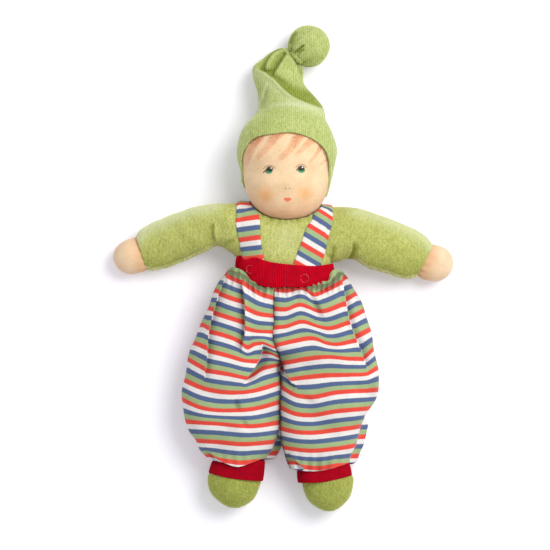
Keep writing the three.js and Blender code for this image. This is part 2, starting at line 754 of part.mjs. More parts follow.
// The outward normal and the place of a point on the torso's front, grown by a layer.
function torsoFront(x, y, grow) {
  const along = (TORSO_TOP_Y + grow - y) / (TORSO_LENGTH + 2 * grow);
  const halfWidth = fromShares(TORSO_SHARES, along, 1) * (TORSO_HALF_WIDTH + grow * SIDE_GROWTH_SHARE);
  const halfDepth = fromShares(TORSO_SHARES, along, 2) * (TORSO_HALF_DEPTH + grow * FRONT_GROWTH_SHARE);
  const u = Math.abs(x / halfWidth);
  const v = (1 - u ** TORSO_POWER) ** (1 / TORSO_POWER);
  const normal = new THREE.Vector3(
    (Math.sign(x) * u ** (TORSO_POWER - 1)) / halfWidth,
    0,
    v ** (TORSO_POWER - 1) / halfDepth,
  ).normalize();
  return { place: new THREE.Vector3(x, y, TORSO_MIDDLE_Z + halfDepth * v), normal };
}

// A ring snap: a stud in the strap's end, a socket in the waistband and a ring on its face
const snaps = new Map(
  [-1, 1].map((side) => {
    const { x, y } = snapPlace(side);
    const outside = torsoFront(x, y, bandOuter);
    const strapFace = outside.place.clone().addScaledVector(outside.normal, LAYER_GAP / 3 - bandOuter);
    const studFoot = strapFace.clone().addScaledVector(outside.normal, LAYER_GAP);
    const socketFoot = studFoot.clone().addScaledVector(outside.normal, STRAP_THICKNESS + LAYER_GAP);
    const studHeight = STRAP_THICKNESS;
    const nubTop = studHeight + LAYER_GAP + RIB_KNIT / 2;
    const stud = turned(
      [[0, 0], [SNAP_SOCKET_RADIUS, 0], [SNAP_SOCKET_RADIUS, studHeight],
        [SNAP_NUB_RADIUS, studHeight], [SNAP_NUB_RADIUS, nubTop], [0, nubTop]],
      studFoot,
      outside.normal,
    );
    const bore = SNAP_NUB_RADIUS + LAYER_GAP;
    const socket = turned(
      [[bore, 0], [SNAP_SOCKET_RADIUS, 0], [SNAP_SOCKET_RADIUS, RIB_KNIT], [bore, RIB_KNIT], [bore, 0]],
      socketFoot,
      outside.normal,
    );
    const ringFoot = socketFoot.clone().addScaledVector(outside.normal, RIB_KNIT + LAYER_GAP);
    const ringWaist = (SNAP_RING_RADIUS - SNAP_RING_BORE) / 4;
    const ring = turned(
      [[SNAP_RING_BORE, 0], [SNAP_RING_RADIUS, 0], [SNAP_RING_RADIUS, SNAP_RING_HEIGHT / 2],
        [SNAP_RING_RADIUS - ringWaist, SNAP_RING_HEIGHT], [SNAP_RING_BORE + ringWaist, SNAP_RING_HEIGHT],
        [SNAP_RING_BORE, SNAP_RING_HEIGHT / 2], [SNAP_RING_BORE, 0]],
      ringFoot,
      outside.normal,
    );
    const hole = bar(
      strapFace.clone().addScaledVector(outside.normal, -STRAP_THICKNESS),
      ringFoot.clone().addScaledVector(outside.normal, RIB_KNIT),
      SNAP_SOCKET_RADIUS + LAYER_GAP,
    );
    return [side, { stud, socket, ring, hole }];
  }),
);
for (const side of [-1, 1]) {
  waistband = waistband.subtract(snaps.get(side).hole);
  straps.set(side, straps.get(side).subtract(snaps.get(side).hole));
}

// Trousers: inner and outer edges and front height from the waist down to the ankle, seen on one side
const TROUSER_SHARES = [
  [0, 0.535, 0.545, 0.93],
  [0.05, 0.6, 0.67, 0.97],
  [0.14, 0.62, 0.8, 1],
  [0.25, 0.5, 0.89, 1],
  [0.36, 0.28, 0.955, 0.97],
  [0.45, 0.12, 0.99, 0.94],
  [0.54, 0, 1, 0.91],
  [0.64, -0.01, 0.99, 0.88],
  [0.75, -0.02, 0.93, 0.86],
  [0.87, -0.045, 0.84, 0.82],
  [0.94, -0.08, 0.78, 0.76],
  [1, -0.17, 0.7, 0.7],
];
const TROUSER_RINGS = 13;
const TROUSER_POWER = 2.3;
const trouserTopY = bandBottomY - LAYER_GAP;

// One trouser leg's form up to the waist, past the centre seam, with gathers below the waistband.
function trouserForm(side, inset) {
  const rings = [];
  const sides = inset > 0 ? BALL_SIDES : TROUSER_SIDES;
  const ringCentre = (along) => {
    const inner = SEAM_X - side * (fromShares(TROUSER_SHARES, along, 1) * TROUSER_HALF_WIDTH - inset);
    const outer = side * (fromShares(TROUSER_SHARES, along, 2) * TROUSER_HALF_WIDTH - inset);
    const front = fromShares(TROUSER_SHARES, along, 3) * TROUSER_DEPTH - inset;
    const back = inset - FLAT_CUT;
    const y = trouserTopY - along * TROUSER_LENGTH;
    const centre = new THREE.Vector3((inner + outer) / 2, y, (front + back) / 2);
    return [centre, Math.abs(outer - inner) / 2, (front - back) / 2];
  };
  for (let i = 0; i < TROUSER_RINGS; i++) {
    const along = i / (TROUSER_RINGS - 1);
    const [centre, halfWidth, halfDepth] = ringCentre(along);
    const ring = section(centre, X, Z, halfWidth, halfDepth, sides, TROUSER_POWER);
    const waistGathers = Math.exp(-along / PLEAT_FADE_SHARE);
    const hemGathers = Math.exp((along - 1) / HEM_FADE_SHARE);
    const gathers = inset > 0 ? 0 : waistGathers + hemGathers;
    ring.forEach((point, j) => {
      const angle = (j / sides) * 2 * Math.PI;
      const ridge = (PLEAT_HEIGHT / 2) * gathers * (1 + Math.cos(angle * PLEAT_COUNT));
      const out = point.clone().sub(centre).normalize();
      const facing = THREE.MathUtils.smoothstep(point.z, TROUSER_DEPTH / 5, TROUSER_DEPTH / 2);
      point.addScaledVector(out, ridge * facing);
      point.y -= Math.tan(radians(BAND_TILT_DEG)) * point.x * (1 - along) ** 3;
    });
    rings.push(ring);
  }
  const tip = (i) => {
    const sum = rings[i].reduce((total, point) => total.add(point), new THREE.Vector3());
    return sum.divideScalar(sides);
  };
  return loft(rings, tip(0), tip(TROUSER_RINGS - 1));
}

// The inner form runs on past the waist and the ankle, so that both ends are open.
function trouserHollow(side) {
  const inner = trouserForm(side, JERSEY);
  const waistEnd = slab(BAND_TOP_Y, bandBottomY - WAIST_HOLLOW_DEPTH);
  return inner.add(torsoForm(bandInner + LAYER_GAP).intersect(waistEnd));
}

// The cuff takes up the trouser leg's gathered end.
const cuffTopY = trouserTopY - TROUSER_LENGTH + LAYER_GAP;

function seamHalf(side) {
  const near = SEAM_X + (side * LAYER_GAP) / 2;
  const far = SEAM_X + side * CUTTER_REACH;
  return block(
    new THREE.Vector3(Math.min(near, far), -CUTTER_REACH, -OVERRUN),
    new THREE.Vector3(Math.max(near, far), CUTTER_REACH, CUTTER_REACH),
  );
}

function trouserPanel(side) {
  const legRoom = limbForm(legLimb(side), LAYER_GAP * 2);
  const shell = trouserForm(side, 0)
    .intersect(seamHalf(side))
    .subtract(trouserHollow(side).intersect(seamHalf(side)))
    .subtract(slab(BAND_TOP_Y + OVERRUN, bandBottomY - LAYER_GAP))
    .subtract(legRoom)
    .subtract(
      block(
        new THREE.Vector3(-CUTTER_REACH, -CUTTER_REACH, -OVERRUN),
        new THREE.Vector3(CUTTER_REACH, cuffTopY + LAYER_GAP, CUTTER_REACH),
      ),
    );
  return cutFlat(shell);
}

function ankleCuff(side) {
  return limbForm(legLimb(side), LAYER_GAP + CUFF_RIB)
    .subtract(limbForm(legLimb(side), LAYER_GAP))
    .intersect(
      block(
        new THREE.Vector3(-CUTTER_REACH, cuffTopY - CUFF_HEIGHT, -OVERRUN),
        new THREE.Vector3(CUTTER_REACH, cuffTopY, CUTTER_REACH),
      ),
    );
}

// Arms and legs in their layers
function arm(side) {
  const limb = armLimb(side);
  const openShank = HAND_SHANK + LAYER_GAP + SKIN_TRICOT;
  const sleeve = limbForm(limb, 0)
    .subtract(limbForm(limb, -VELOUR, INSIDE_SIDES).subtract(handReach(side, 0)))
    .subtract(handForm(side, LAYER_GAP, openShank));
  const wool = limbForm(limb, -VELOUR - LAYER_GAP, INSIDE_SIDES).subtract(
    handReach(side, LAYER_GAP),
  );
  const skin = cutFlat(handForm(side, 0)).subtract(
    handForm(side, -SKIN_TRICOT, openShank, INSIDE_SIDES),
  );
  const woolShank = HAND_SHANK - LAYER_GAP;
  const handWool = handForm(side, -SKIN_TRICOT - LAYER_GAP, woolShank, INSIDE_SIDES);
  return { sleeve, wool, skin, handWool };
}

// The room about the hand, from the end of its shank outwards.
function handReach(side, clearance) {
  const aim = armAim(side);
  const wrist = shoulder(side).addScaledVector(aim, SLEEVE_LENGTH);
  wrist.z = WRIST_Z;
  return bar(
    wrist.clone().addScaledVector(aim, -HAND_SHANK - LAYER_GAP - clearance),
    wrist.clone().addScaledVector(aim, HAND_LENGTH * 2),
    SHOULDER_HALF_WIDTH,
  );
}

function leg(side) {
  const limb = legLimb(side);
  const hipTop = limb.root.clone().addScaledVector(limb.aim, -HIP_RADIUS * 2);
  const cover = limbForm(limb, 0)
    .subtract(limbForm(limb, -VELOUR, INSIDE_SIDES))
    .subtract(bar(hipTop, limb.root, STUFFING_HOLE_RADIUS));
  const wool = limbForm(limb, -VELOUR - LAYER_GAP, INSIDE_SIDES);
  return { cover, wool };
}

// Materials
const cloth = (colour, roughness = 0.95) =>
  new THREE.MeshStandardMaterial({ color: colour, roughness, metalness: 0 });
const GREEN_VELOUR = cloth(0xb2bc64);
const CAP_GREEN = cloth(0xafc869);
const SKIN = cloth(0xf2d9b6, 0.85);
const WOOL = cloth(0xf0ead8);
const STRIPED = cloth(0x96a49b);
const RED_RIB = cloth(0xc80f28);
const THREAD = cloth(0xe8dcc0, 0.8);
const SNAP_RED = cloth(0xb3122c, 0.35);
const SNAP_METAL = new THREE.MeshStandardMaterial({ color: 0xb9b6ae, roughness: 0.35, metalness: 1 });

const doll = new THREE.Group();

// One named mesh from a finished solid.
function addPiece(name, solid, material) {
  const made = solid.getMesh();
  const stride = made.numProp;
  const positions = new Float32Array(made.numVert * 3);
  for (let i = 0; i < made.numVert; i++) {
    positions.set(made.vertProperties.subarray(i * stride, i * stride + 3), i * 3);
  }
  const geometry = new THREE.BufferGeometry();
  geometry.setAttribute("position", new THREE.BufferAttribute(positions, 3));
  geometry.setIndex(new THREE.BufferAttribute(made.triVerts, 1));
  const mesh = new THREE.Mesh(geometry, material);
  mesh.name = name;
  doll.add(mesh);
}

addPiece("head_skin", headSkin, SKIN);
addPiece("head_core", headCore, WOOL);
addPiece("neck_thread", neckThread, THREAD);
addPiece("cap", cap, CAP_GREEN);
addPiece("cap_tie_thread", capThread, THREAD);
addPiece("pompom", pompom, CAP_GREEN);
addPiece("pompom_wool", pompomWool, WOOL);
addPiece("torso_cover", torsoCover, GREEN_VELOUR);
addPiece("torso_wool", torsoWool, WOOL);
addPiece("waistband", waistband, RED_RIB);

for (const [side, word] of [[-1, "right"], [1, "left"]]) {
  const armPieces = arm(side);
  const legPieces = leg(side);
  const snap = snaps.get(side);
  addPiece("sleeve_" + word, armPieces.sleeve, GREEN_VELOUR);
  addPiece("arm_wool_" + word, armPieces.wool, WOOL);
  addPiece("hand_skin_" + word, armPieces.skin, SKIN);
  addPiece("hand_wool_" + word, armPieces.handWool, WOOL);
  addPiece("leg_cover_" + word, legPieces.cover, GREEN_VELOUR);
  addPiece("leg_wool_" + word, legPieces.wool, WOOL);
  addPiece("trouser_panel_" + word, trouserPanel(side), STRIPED);
  addPiece("ankle_cuff_" + word, ankleCuff(side), RED_RIB);
  addPiece("strap_" + word, straps.get(side), STRIPED);
  addPiece("snap_ring_" + word, snap.ring, SNAP_RED);
  addPiece("snap_socket_" + word, snap.socket, SNAP_METAL);
  addPiece("snap_stud_" + word, snap.stud, SNAP_METAL);
}

// The origin lies on the supporting surface, under the middle of the doll's outline.
const outline = new THREE.Box3().setFromObject(doll);
const middleOfOutline = outline.getCenter(new THREE.Vector3());
doll.position.set(-middleOfOutline.x, -middleOfOutline.y, 0);

export default doll;
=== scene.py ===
"""A soft cloth doll lying on its back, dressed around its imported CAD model.

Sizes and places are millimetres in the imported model's frame: +X is the right of the view onto the
face, +Y runs from the feet to the cap and +Z is up. Left and right in names are the doll's own.
"""

import math

import bpy
import numpy as np
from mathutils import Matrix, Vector
from mathutils.bvhtree import BVHTree


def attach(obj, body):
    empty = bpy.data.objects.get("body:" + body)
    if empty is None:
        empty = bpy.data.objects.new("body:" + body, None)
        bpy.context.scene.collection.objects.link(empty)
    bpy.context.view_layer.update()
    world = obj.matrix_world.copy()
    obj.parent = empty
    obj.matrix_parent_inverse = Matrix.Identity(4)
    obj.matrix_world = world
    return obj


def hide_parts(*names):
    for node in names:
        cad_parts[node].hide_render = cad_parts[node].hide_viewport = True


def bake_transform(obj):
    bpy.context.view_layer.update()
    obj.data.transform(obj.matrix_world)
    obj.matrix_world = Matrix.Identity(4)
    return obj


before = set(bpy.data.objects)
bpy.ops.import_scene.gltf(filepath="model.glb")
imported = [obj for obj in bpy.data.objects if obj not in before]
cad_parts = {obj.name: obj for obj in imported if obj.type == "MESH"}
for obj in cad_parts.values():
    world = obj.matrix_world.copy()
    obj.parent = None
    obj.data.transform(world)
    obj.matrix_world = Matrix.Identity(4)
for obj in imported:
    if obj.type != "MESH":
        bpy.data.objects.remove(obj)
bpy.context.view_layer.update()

# Head
# A ball of wound wool under a tube of flesh-coloured cotton tricot, tied off at the neck. The eyes,
# nostrils, mouth, cheeks and fringe are drawn and painted on the tricot by hand.
HEAD_X, HEAD_Z = 3.5, 42.0
CHIN_Y, HEAD_LENGTH = 42.4, 96.4
HEAD_HALF_WIDTH, HEAD_HALF_DEPTH = 43.3, 40.3
NECK_RADIUS = 9.0
HEAD_PROFILE = [
    (0.0, 0.0, 0.0),
    (0.006, 0.14, 0.14),
    (0.02, 0.28, 0.28),
    (0.05, 0.45, 0.47),
    (0.09, 0.585, 0.61),
    (0.145, 0.695, 0.715),
    (0.243, 0.825, 0.85),
    (0.369, 0.91, 0.95),
    (0.515, 0.96, 1.0),
    (0.66, 1.0, 1.0),
    (0.767, 0.96, 0.95),
    (0.884, 0.77, 0.76),
    (0.961, 0.46, 0.45),
    (0.99, 0.22, 0.22),
    (1.0, 0.0, 0.0),
]
SKIN_DYE = (252, 221, 182)
# Painted shade on the skin: at the face's edges and on the neck, and more orange at the chin.
SKIN_SHADE = (243, 196, 152)
SKIN_CHIN_SHADE = (232, 160, 112)


def curve_through(knots, at, column=1):
    """Smooth values through rows of knots, whose first column is the place."""
    knots = np.asarray(knots, float)
    place, value = knots[:, 0], knots[:, column]
    slope = np.gradient(value, place)
    at = np.clip(at, place[0], place[-1])
    i = np.clip(np.searchsorted(place, at, side="right") - 1, 0, len(place) - 2)
    span = place[i + 1] - place[i]
    t = (at - place[i]) / span
    rise = value[i] * (2 * t**3 - 3 * t**2 + 1) + value[i + 1] * (3 * t**2 - 2 * t**3)
    bend = slope[i] * (t**3 - 2 * t**2 + t) + slope[i + 1] * (t**3 - t**2)
    return rise + bend * span


def ease(low, high, value):
    """0 below low, 1 above high, and a smooth rise between them."""
    t = np.clip((value - low) / (high - low), 0, 1)
    return t * t * (3 - 2 * t)


def bell(far, reach):
    """1 in the middle, fading away on both sides as far as this reach."""
    return np.exp(-((far / reach) ** 2))


def faded_ends(along, ends):
    """1 along a line, fading to 0 over this share of it at both ends."""
    return ease(0, ends, along) * (1 - ease(1 - ends, 1, along))


def full_turn(columns):
    """Evenly spaced angles, once round."""
    return np.linspace(0, 2 * math.pi, columns, endpoint=False)


def path_through(line, at, place=None):
    """Points on a smooth line through corners, whose places are their numbers unless given."""
    line = np.asarray(line, float)
    place = np.arange(len(line)) if place is None else place
    return np.stack([curve_through(np.stack([place, line[:, k]], 1), at) for k in (0, 1)], -1)


def drawn(line, pieces=6):
    """A line of corners as a smooth line through them."""
    line = np.asarray(line, float)
    place = np.concatenate([[0], np.cumsum(np.hypot(*np.diff(line, axis=0).T))])
    return path_through(line, np.linspace(0, place[-1], pieces * (len(line) - 1) + 1), place)


def beside(x, y, line):
    """How far points lie from a drawn line, positive on its left, and the share along it."""
    starts, runs = line[:-1], np.diff(line, axis=0)
    lengths = np.hypot(*runs.T)
    passed = np.concatenate([[0], np.cumsum(lengths)])
    nearest = np.full(np.shape(x), np.inf)
    side, along = np.zeros(np.shape(x)), np.zeros(np.shape(x))
    for (start_x, start_y), (run_x, run_y), length, past in zip(starts, runs, lengths, passed):
        from_x, from_y = x - start_x, y - start_y
        t = np.clip((from_x * run_x + from_y * run_y) / length**2, 0, 1)
        far = np.hypot(from_x - t * run_x, from_y - t * run_y)
        closer = far < nearest
        side = np.where(closer, np.sign(run_x * from_y - run_y * from_x), side)
        along = np.where(closer, (past + t * length) / passed[-1], along)
        nearest = np.minimum(nearest, far)
    return side * nearest, along


def unit(vectors):
    """Vectors scaled to a length of 1."""
    return vectors / np.maximum(np.linalg.norm(vectors, axis=-1, keepdims=True), 1e-9)


def sides_of(axis, up=(0, 0, 1)):
    """Two directions square to an axis and to each other."""
    side = unit(np.cross(axis, up))
    return side, np.cross(side, axis)


def grid_of(x, y, z):
    """A grid of points from their coordinates, each spread over the rows and columns."""
    return np.stack(np.broadcast_arrays(x, y, z), axis=-1)


def outward(grid, closed=True):
    """Unit normals of a grid of points, out of the cloth."""
    down = np.gradient(grid, axis=0)
    if closed:
        across = (np.roll(grid, -1, axis=1) - np.roll(grid, 1, axis=1)) / 2
    else:
        across = np.gradient(grid, axis=1)
    normals = unit(np.cross(across, down))
    if closed and ((grid - grid.mean(axis=1, keepdims=True)) * normals).sum() < 0:
        normals = -normals
    return normals


def cloth_mesh(name, grid, material, start_tip=None, end_tip=None):
    """A smooth tube of a material through rows of points in millimetres. A tip closes an end: it
    is a point, or True for the middle of the end's row. "rest" keeps where the cloth lies at rest.
    """
    rows, columns = grid.shape[:2]
    points = [grid.reshape(-1, 3)]
    corner = np.arange(rows * columns).reshape(rows, columns)
    corner = np.hstack([corner, corner[:, :1]])
    quads = np.stack(
        [corner[:-1, :-1], corner[:-1, 1:], corner[1:, 1:], corner[1:, :-1]], axis=-1
    ).reshape(-1, 4)
    faces = quads.tolist()
    for tip, row, edge in ((start_tip, grid[0], corner[0][::-1]), (end_tip, grid[-1], corner[-1])):
        if tip is not None:
            last = sum(len(part) for part in points)
            points.append(np.asarray([row.mean(axis=0) if tip is True else tip], float))
            faces += [[int(a), int(b), last] for a, b in zip(edge[:-1], edge[1:])]
    points = np.concatenate(points) / 1000
    quads = np.array([face for face in faces if len(face) == 4])
    corners = points[quads[:, :3]]
    if (corners[:, 0] * np.cross(corners[:, 1], corners[:, 2])).sum() < 0:
        faces = [face[::-1] for face in faces]
    mesh = bpy.data.meshes.new(name)
    mesh.from_pydata(points.tolist(), [], faces)
    mesh.shade_smooth()
    mesh.attributes.new("rest", "FLOAT_VECTOR", "POINT").data.foreach_set(
        "vector", points.astype(np.float32).ravel()
    )
    mesh.update()
    piece = bpy.data.objects.new(name, mesh)
    piece.data.materials.append(material)
    bpy.context.scene.collection.objects.link(piece)
    return piece


def dye(red, green, blue):
    """A colour that is seen as these screen values, as the light that it gives back."""
    seen = np.array([red, green, blue]) / 255
    return np.where(seen <= 0.04045, seen / 12.92, ((seen + 0.055) / 1.055) ** 2.4)


def colour_points(piece, name, colours):
    """Colour each point of a piece's mesh; points past the list, such as tips, take its last."""
    count = len(piece.data.vertices)
    values = np.ones((count, 4), np.float32)
    values[: len(colours), :3] = colours[:count]
    values[len(colours) :, :3] = colours[-1]
    piece.data.attributes.new(name, "FLOAT_COLOR", "POINT").data.foreach_set(
        "color", values.ravel()
    )


def share_points(piece, name, shares):
    """Give each point of a piece a share that its material reads by this name."""
    colour_points(piece, name, np.repeat(np.reshape(shares, (-1, 1)), 3, 1))


def number_points(piece, name, numbers):
    """Give each point of a piece a plain number that its material reads by this name."""
    piece.data.attributes.new(name, "FLOAT", "POINT").data.foreach_set(
        "value", np.asarray(numbers, np.float32).ravel()
    )


def put(tree, kind, inputs=None, **settings):
    """Add a shader node, with its inputs set or linked."""
    node = tree.nodes.new(kind)
    for key, value in settings.items():
        setattr(node, key, value)
    for key, value in (inputs or {}).items():
        if isinstance(value, bpy.types.NodeSocket):
            tree.links.new(value, node.inputs[key])
        else:
            node.inputs[key].default_value = value
    return node


def maths(tree, operation, a, b=0.0):
    return put(tree, "ShaderNodeMath", {0: a, 1: b}, operation=operation).outputs[0]


def weighed(tree, *parts):
    """The sum of some factors, each by its weight."""
    total, *others = [maths(tree, "MULTIPLY", factor, weight) for factor, weight in parts]
    for other in others:
        total = maths(tree, "ADD", total, other)
    return total


def read_points(tree, name, output="Fac"):
    return put(tree, "ShaderNodeAttribute", attribute_name=name).outputs[output]


def millimetres(tree, place, stretch=(1, 1, 1)):
    scale = tuple(1000 * share for share in stretch)
    return put(tree, "ShaderNodeVectorMath", {0: place, 1: scale}, operation="MULTIPLY").outputs[0]


def cloth_place(tree, stretch=(1, 1, 1)):
    """The place on the cloth at rest, in millimetres, so that a weave moves with its piece."""
    return millimetres(tree, read_points(tree, "rest", "Vector"), stretch)


def mottle(tree, where, size, detail=2.0, roughness=0.55):
    """Cloudy variation of about this size in millimetres, from 0 to 1."""
    inputs = {"Vector": where, "Scale": 1 / size, "Detail": detail, "Roughness": roughness}
    return put(tree, "ShaderNodeTexNoise", inputs).outputs["Fac"]


def wales(tree, where, scale, distortion, detail=2.0, detail_scale=1.0):
    """The columns of a knit's loops, from 0 to 1."""
    inputs = {"Vector": where, "Scale": scale, "Distortion": distortion, "Detail": detail,
              "Detail Scale": detail_scale}
    return put(tree, "ShaderNodeTexWave", inputs, bands_direction="X").outputs["Fac"]


def mixed(tree, kind, factor, below, above):
    """Two colours mixed in one of Blender's ways."""
    node = put(tree, "ShaderNodeMix", data_type="RGBA", blend_type=kind)
    for key, value in ((0, factor), (6, below), (7, above)):
        if isinstance(value, bpy.types.NodeSocket):
            tree.links.new(value, node.inputs[key])
        else:
            node.inputs[key].default_value = value
    return node.outputs[2]


def tinted(tree, factor, low, high, from_low, from_high):
    """A colour between two dyes, by a factor."""
    ramp = put(tree, "ShaderNodeMapRange", {0: factor, 1: from_low, 2: from_high}).outputs[0]
    return mixed(tree, "MIX", ramp, (*dye(*low), 1), (*dye(*high), 1))


def speckled(tree, colour, factor, shade, from_low, from_high):
    """A colour darkened by a shade where a factor is low."""
    shade = tinted(tree, factor, shade, (255, 255, 255), from_low, from_high)
    return mixed(tree, "MULTIPLY", 1.0, colour, shade)


def changed_where(tree, name, colour, kind, strength, other):
    """A colour mixed with another dye as far as the points' shares of this name say."""
    changed = mixed(tree, kind, strength, colour, (*dye(*other), 1))
    return mixed(tree, "MIX", read_points(tree, name), colour, changed)


def finish_material(colour, height, bump_mm, strength, **shader_values):
    """Close a material's tree with its shader, its colour and its bump."""
    tree = colour.id_data
    inputs = {"Height": height, "Distance": bump_mm / 1000, "Strength": strength}
    bump = put(tree, "ShaderNodeBump", inputs)
    inputs = {"Base Color": colour, "Normal": bump.outputs[0]}
    shader = put(tree, "ShaderNodeBsdfPrincipled", inputs)
    for key, value in shader_values.items():
        shader.inputs[key.replace("_", " ")].default_value = value
    out = put(tree, "ShaderNodeOutputMaterial", {"Surface": shader.outputs[0]})
    out.is_active_output = True


def new_material(name):
    material = bpy.data.materials.new(name)
    material.use_nodes = True
    material.node_tree.nodes.clear()
    return material, material.node_tree


def tricot_material():
    """Flesh-coloured knit: fine columns, faint blotches, and the paint that lies on it."""
    material, tree = new_material("tricot")
    where = cloth_place(tree)
    cloud = mottle(tree, where, 14, 3)
    grain = mottle(tree, cloth_place(tree, (1, 0.35, 1)), 0.5, 2)
    colour = read_points(tree, "paint", "Color")
    colour = speckled(tree, colour, cloud, (240, 236, 228), 0.3, 0.7)
    colour = speckled(tree, colour, grain, (238, 232, 224), 0.25, 0.75)
    height = weighed(tree, (wales(tree, where, 0.5, 1.0), 0.35), (grain, 1.0))
    finish_material(colour, height, 0.12, 0.45, Roughness=0.82, Sheen_Weight=0.18,
                    Sheen_Roughness=0.5, Specular_IOR_Level=0.25, Subsurface_Weight=0.06,
                    Subsurface_Scale=0.004)
    return material


tricot = tricot_material()

# The rows and columns of the mesh stand closest where the face is drawn.
face_angles = np.radians(np.linspace(18, 162, 300))
back_angles = np.radians(np.linspace(162, 378, 60)[1:-1])
head_angles = np.concatenate([face_angles, back_angles])
face_rows = np.linspace(0.05, 0.93, 258)
head_rows = np.concatenate([[0.0008, 0.003, 0.008, 0.018, 0.032], face_rows,
                            [0.955, 0.975, 0.99, 0.998]])
head_half_width = curve_through(HEAD_PROFILE, head_rows, 1) * HEAD_HALF_WIDTH
head_half_depth = curve_through(HEAD_PROFILE, head_rows, 2) * HEAD_HALF_DEPTH
head_grid = grid_of(
    HEAD_X + head_half_width[:, None] * np.cos(head_angles),
    (CHIN_Y + head_rows * HEAD_LENGTH)[:, None],
    HEAD_Z + head_half_depth[:, None] * np.sin(head_angles),
)

# The wound core has an eye line and a small rise for the nose.
EYE_LINE_Y, EYE_LINE_SINK, EYE_LINE_BREADTH = 88.0, 1.5, 8
NOSE_PLACE, NOSE_RISE, NOSE_BREADTH = (4.1, 76.9), 0.9, 4.2
face_x, face_y = head_grid[..., 0], head_grid[..., 1]
facing = ease(0.2, 0.8, np.sin(head_angles))[None, :]
sunk = EYE_LINE_SINK * bell(face_y - EYE_LINE_Y, EYE_LINE_BREADTH) * facing
from_nose = np.hypot(face_x - NOSE_PLACE[0], face_y - NOSE_PLACE[1])
nose = NOSE_RISE * bell(from_nose, NOSE_BREADTH) * facing
head_grid += outward(head_grid) * (nose - sunk)[..., None]


def below_head(grid):
    """Press a grid of points down the body, out of the head that rests in it."""
    wide = (grid[..., 0] - HEAD_X) / (HEAD_HALF_WIDTH + 0.8)
    deep = (grid[..., 2] - HEAD_Z) / (HEAD_HALF_WIDTH + 0.8)
    reach = np.hypot(wide, deep)
    trial = np.linspace(0, 0.5, 60)
    roundness = (curve_through(HEAD_PROFILE, trial, 1) + curve_through(HEAD_PROFILE, trial, 2)) / 2
    lowest = CHIN_Y + HEAD_LENGTH * np.interp(reach, roundness, trial) - 0.8
    pressed = grid.copy()
    pressed[..., 1] = np.where(reach < 0.96, np.minimum(grid[..., 1], lowest), grid[..., 1])
    return pressed


# Drawn fringe: each strand runs from the cap's edge, is this broad there, and thins out.
FRINGE = [
    ([(-22.0, 121.0), (-26.5, 114.0), (-30.2, 106.0), (-33.5, 95.5), (-34.5, 90.0)], 4.8),
    ([(-2.5, 127.0), (-9.3, 118.4), (-15.7, 110.0), (-22.2, 102.7), (-29.0, 95.4)], 5.8),
    ([(18.0, 127.0), (11.1, 116.5), (6.5, 109.2), (0.0, 102.7), (-9.5, 95.8)], 6.0),
    ([(31.0, 123.0), (26.8, 118.4), (21.3, 112.9), (15.7, 107.3), (7.5, 100.4)], 4.6),
    ([(37.5, 115.0), (34.7, 111.5), (31.5, 105.5), (27.3, 100.4), (22.0, 94.8)], 2.8),
    ([(42.3, 101.8), (37.5, 97.6), (33.0, 94.2)], 1.7),
]
FRINGE_DYE = (232, 156, 112)
FRINGE_ROOT_DYE = (206, 118, 74)
# A painted shadow: a dark brown line along the cap's edge, where the cap's hem shades the face.
CAP_HEM_SHADOW = [(-30.5, 115.6), (-25.0, 119.3), (-16.7, 122.6), (-7.4, 124.4), (0.9, 124.9),
            (9.3, 124.4), (17.6, 122.6), (26.8, 119.3), (33.3, 113.8), (37.9, 107.3),
            (41.2, 99.9), (42.1, 90.6), (42.1, 83.3)]
CAP_HEM_SHADOW_DYE = (150, 84, 48)
EYES = (
    {"iris": (-13.2, 89.1), "pupil": (-12.3, 90.9), "spark": (-10.9, 91.7),
     "lid": [(-18.0, 90.9), (-16.2, 93.0), (-12.6, 94.1), (-9.0, 93.2), (-7.2, 91.2)],
     "lash": [(-18.0, 87.9), (-15.6, 90.0)]},
    {"iris": (16.9, 89.8), "pupil": (16.7, 91.6), "spark": (17.9, 92.4),
     "lid": [(11.8, 92.4), (13.6, 94.3), (16.6, 95.2), (19.6, 94.3), (21.5, 92.3)],
     "lash": [(12.5, 89.8), (14.3, 91.8)]},
)
NOSTRILS = [(2.4, 72.9), (5.9, 73.0)]
MOUTH = (4.1, 63.2)
# Each cheek's place, its size and how strongly it is rubbed in.
CHEEKS = [((-16.4, 66.8), 6.8, 0.85), ((20.2, 68.4), 7.2, 0.7)]
CHEEK_DYE = (255, 186, 120)
NOSTRIL_DYE, MOUTH_DYE = (150, 104, 72), (252, 124, 84)
# Painted shade: the skin is darker and warmer outside this oval.
FACE_MIDDLE_Y, FACE_HALF_HEIGHT = 88, 46


def disc(x, y, centre, half_width, half_height, soft):
    """1 inside an oval, fading over a share of its size at its edge."""
    far = np.hypot((x - centre[0]) / half_width, (y - centre[1]) / half_height)
    return 1 - ease(1 - soft, 1 + soft, far)


def laid(colours, mask, over):
    """Paint of one dye laid over colours where a mask says."""
    return colours * (1 - mask[..., None]) + dye(*over) * mask[..., None]


def stroke(x, y, line, half_width, soft=0.6):
    """1 on a drawn line, fading over a share of its breadth at its edges."""
    far, _ = beside(x, y, drawn(line))
    return 1 - ease(1 - soft, 1 + soft, np.abs(far) / half_width)


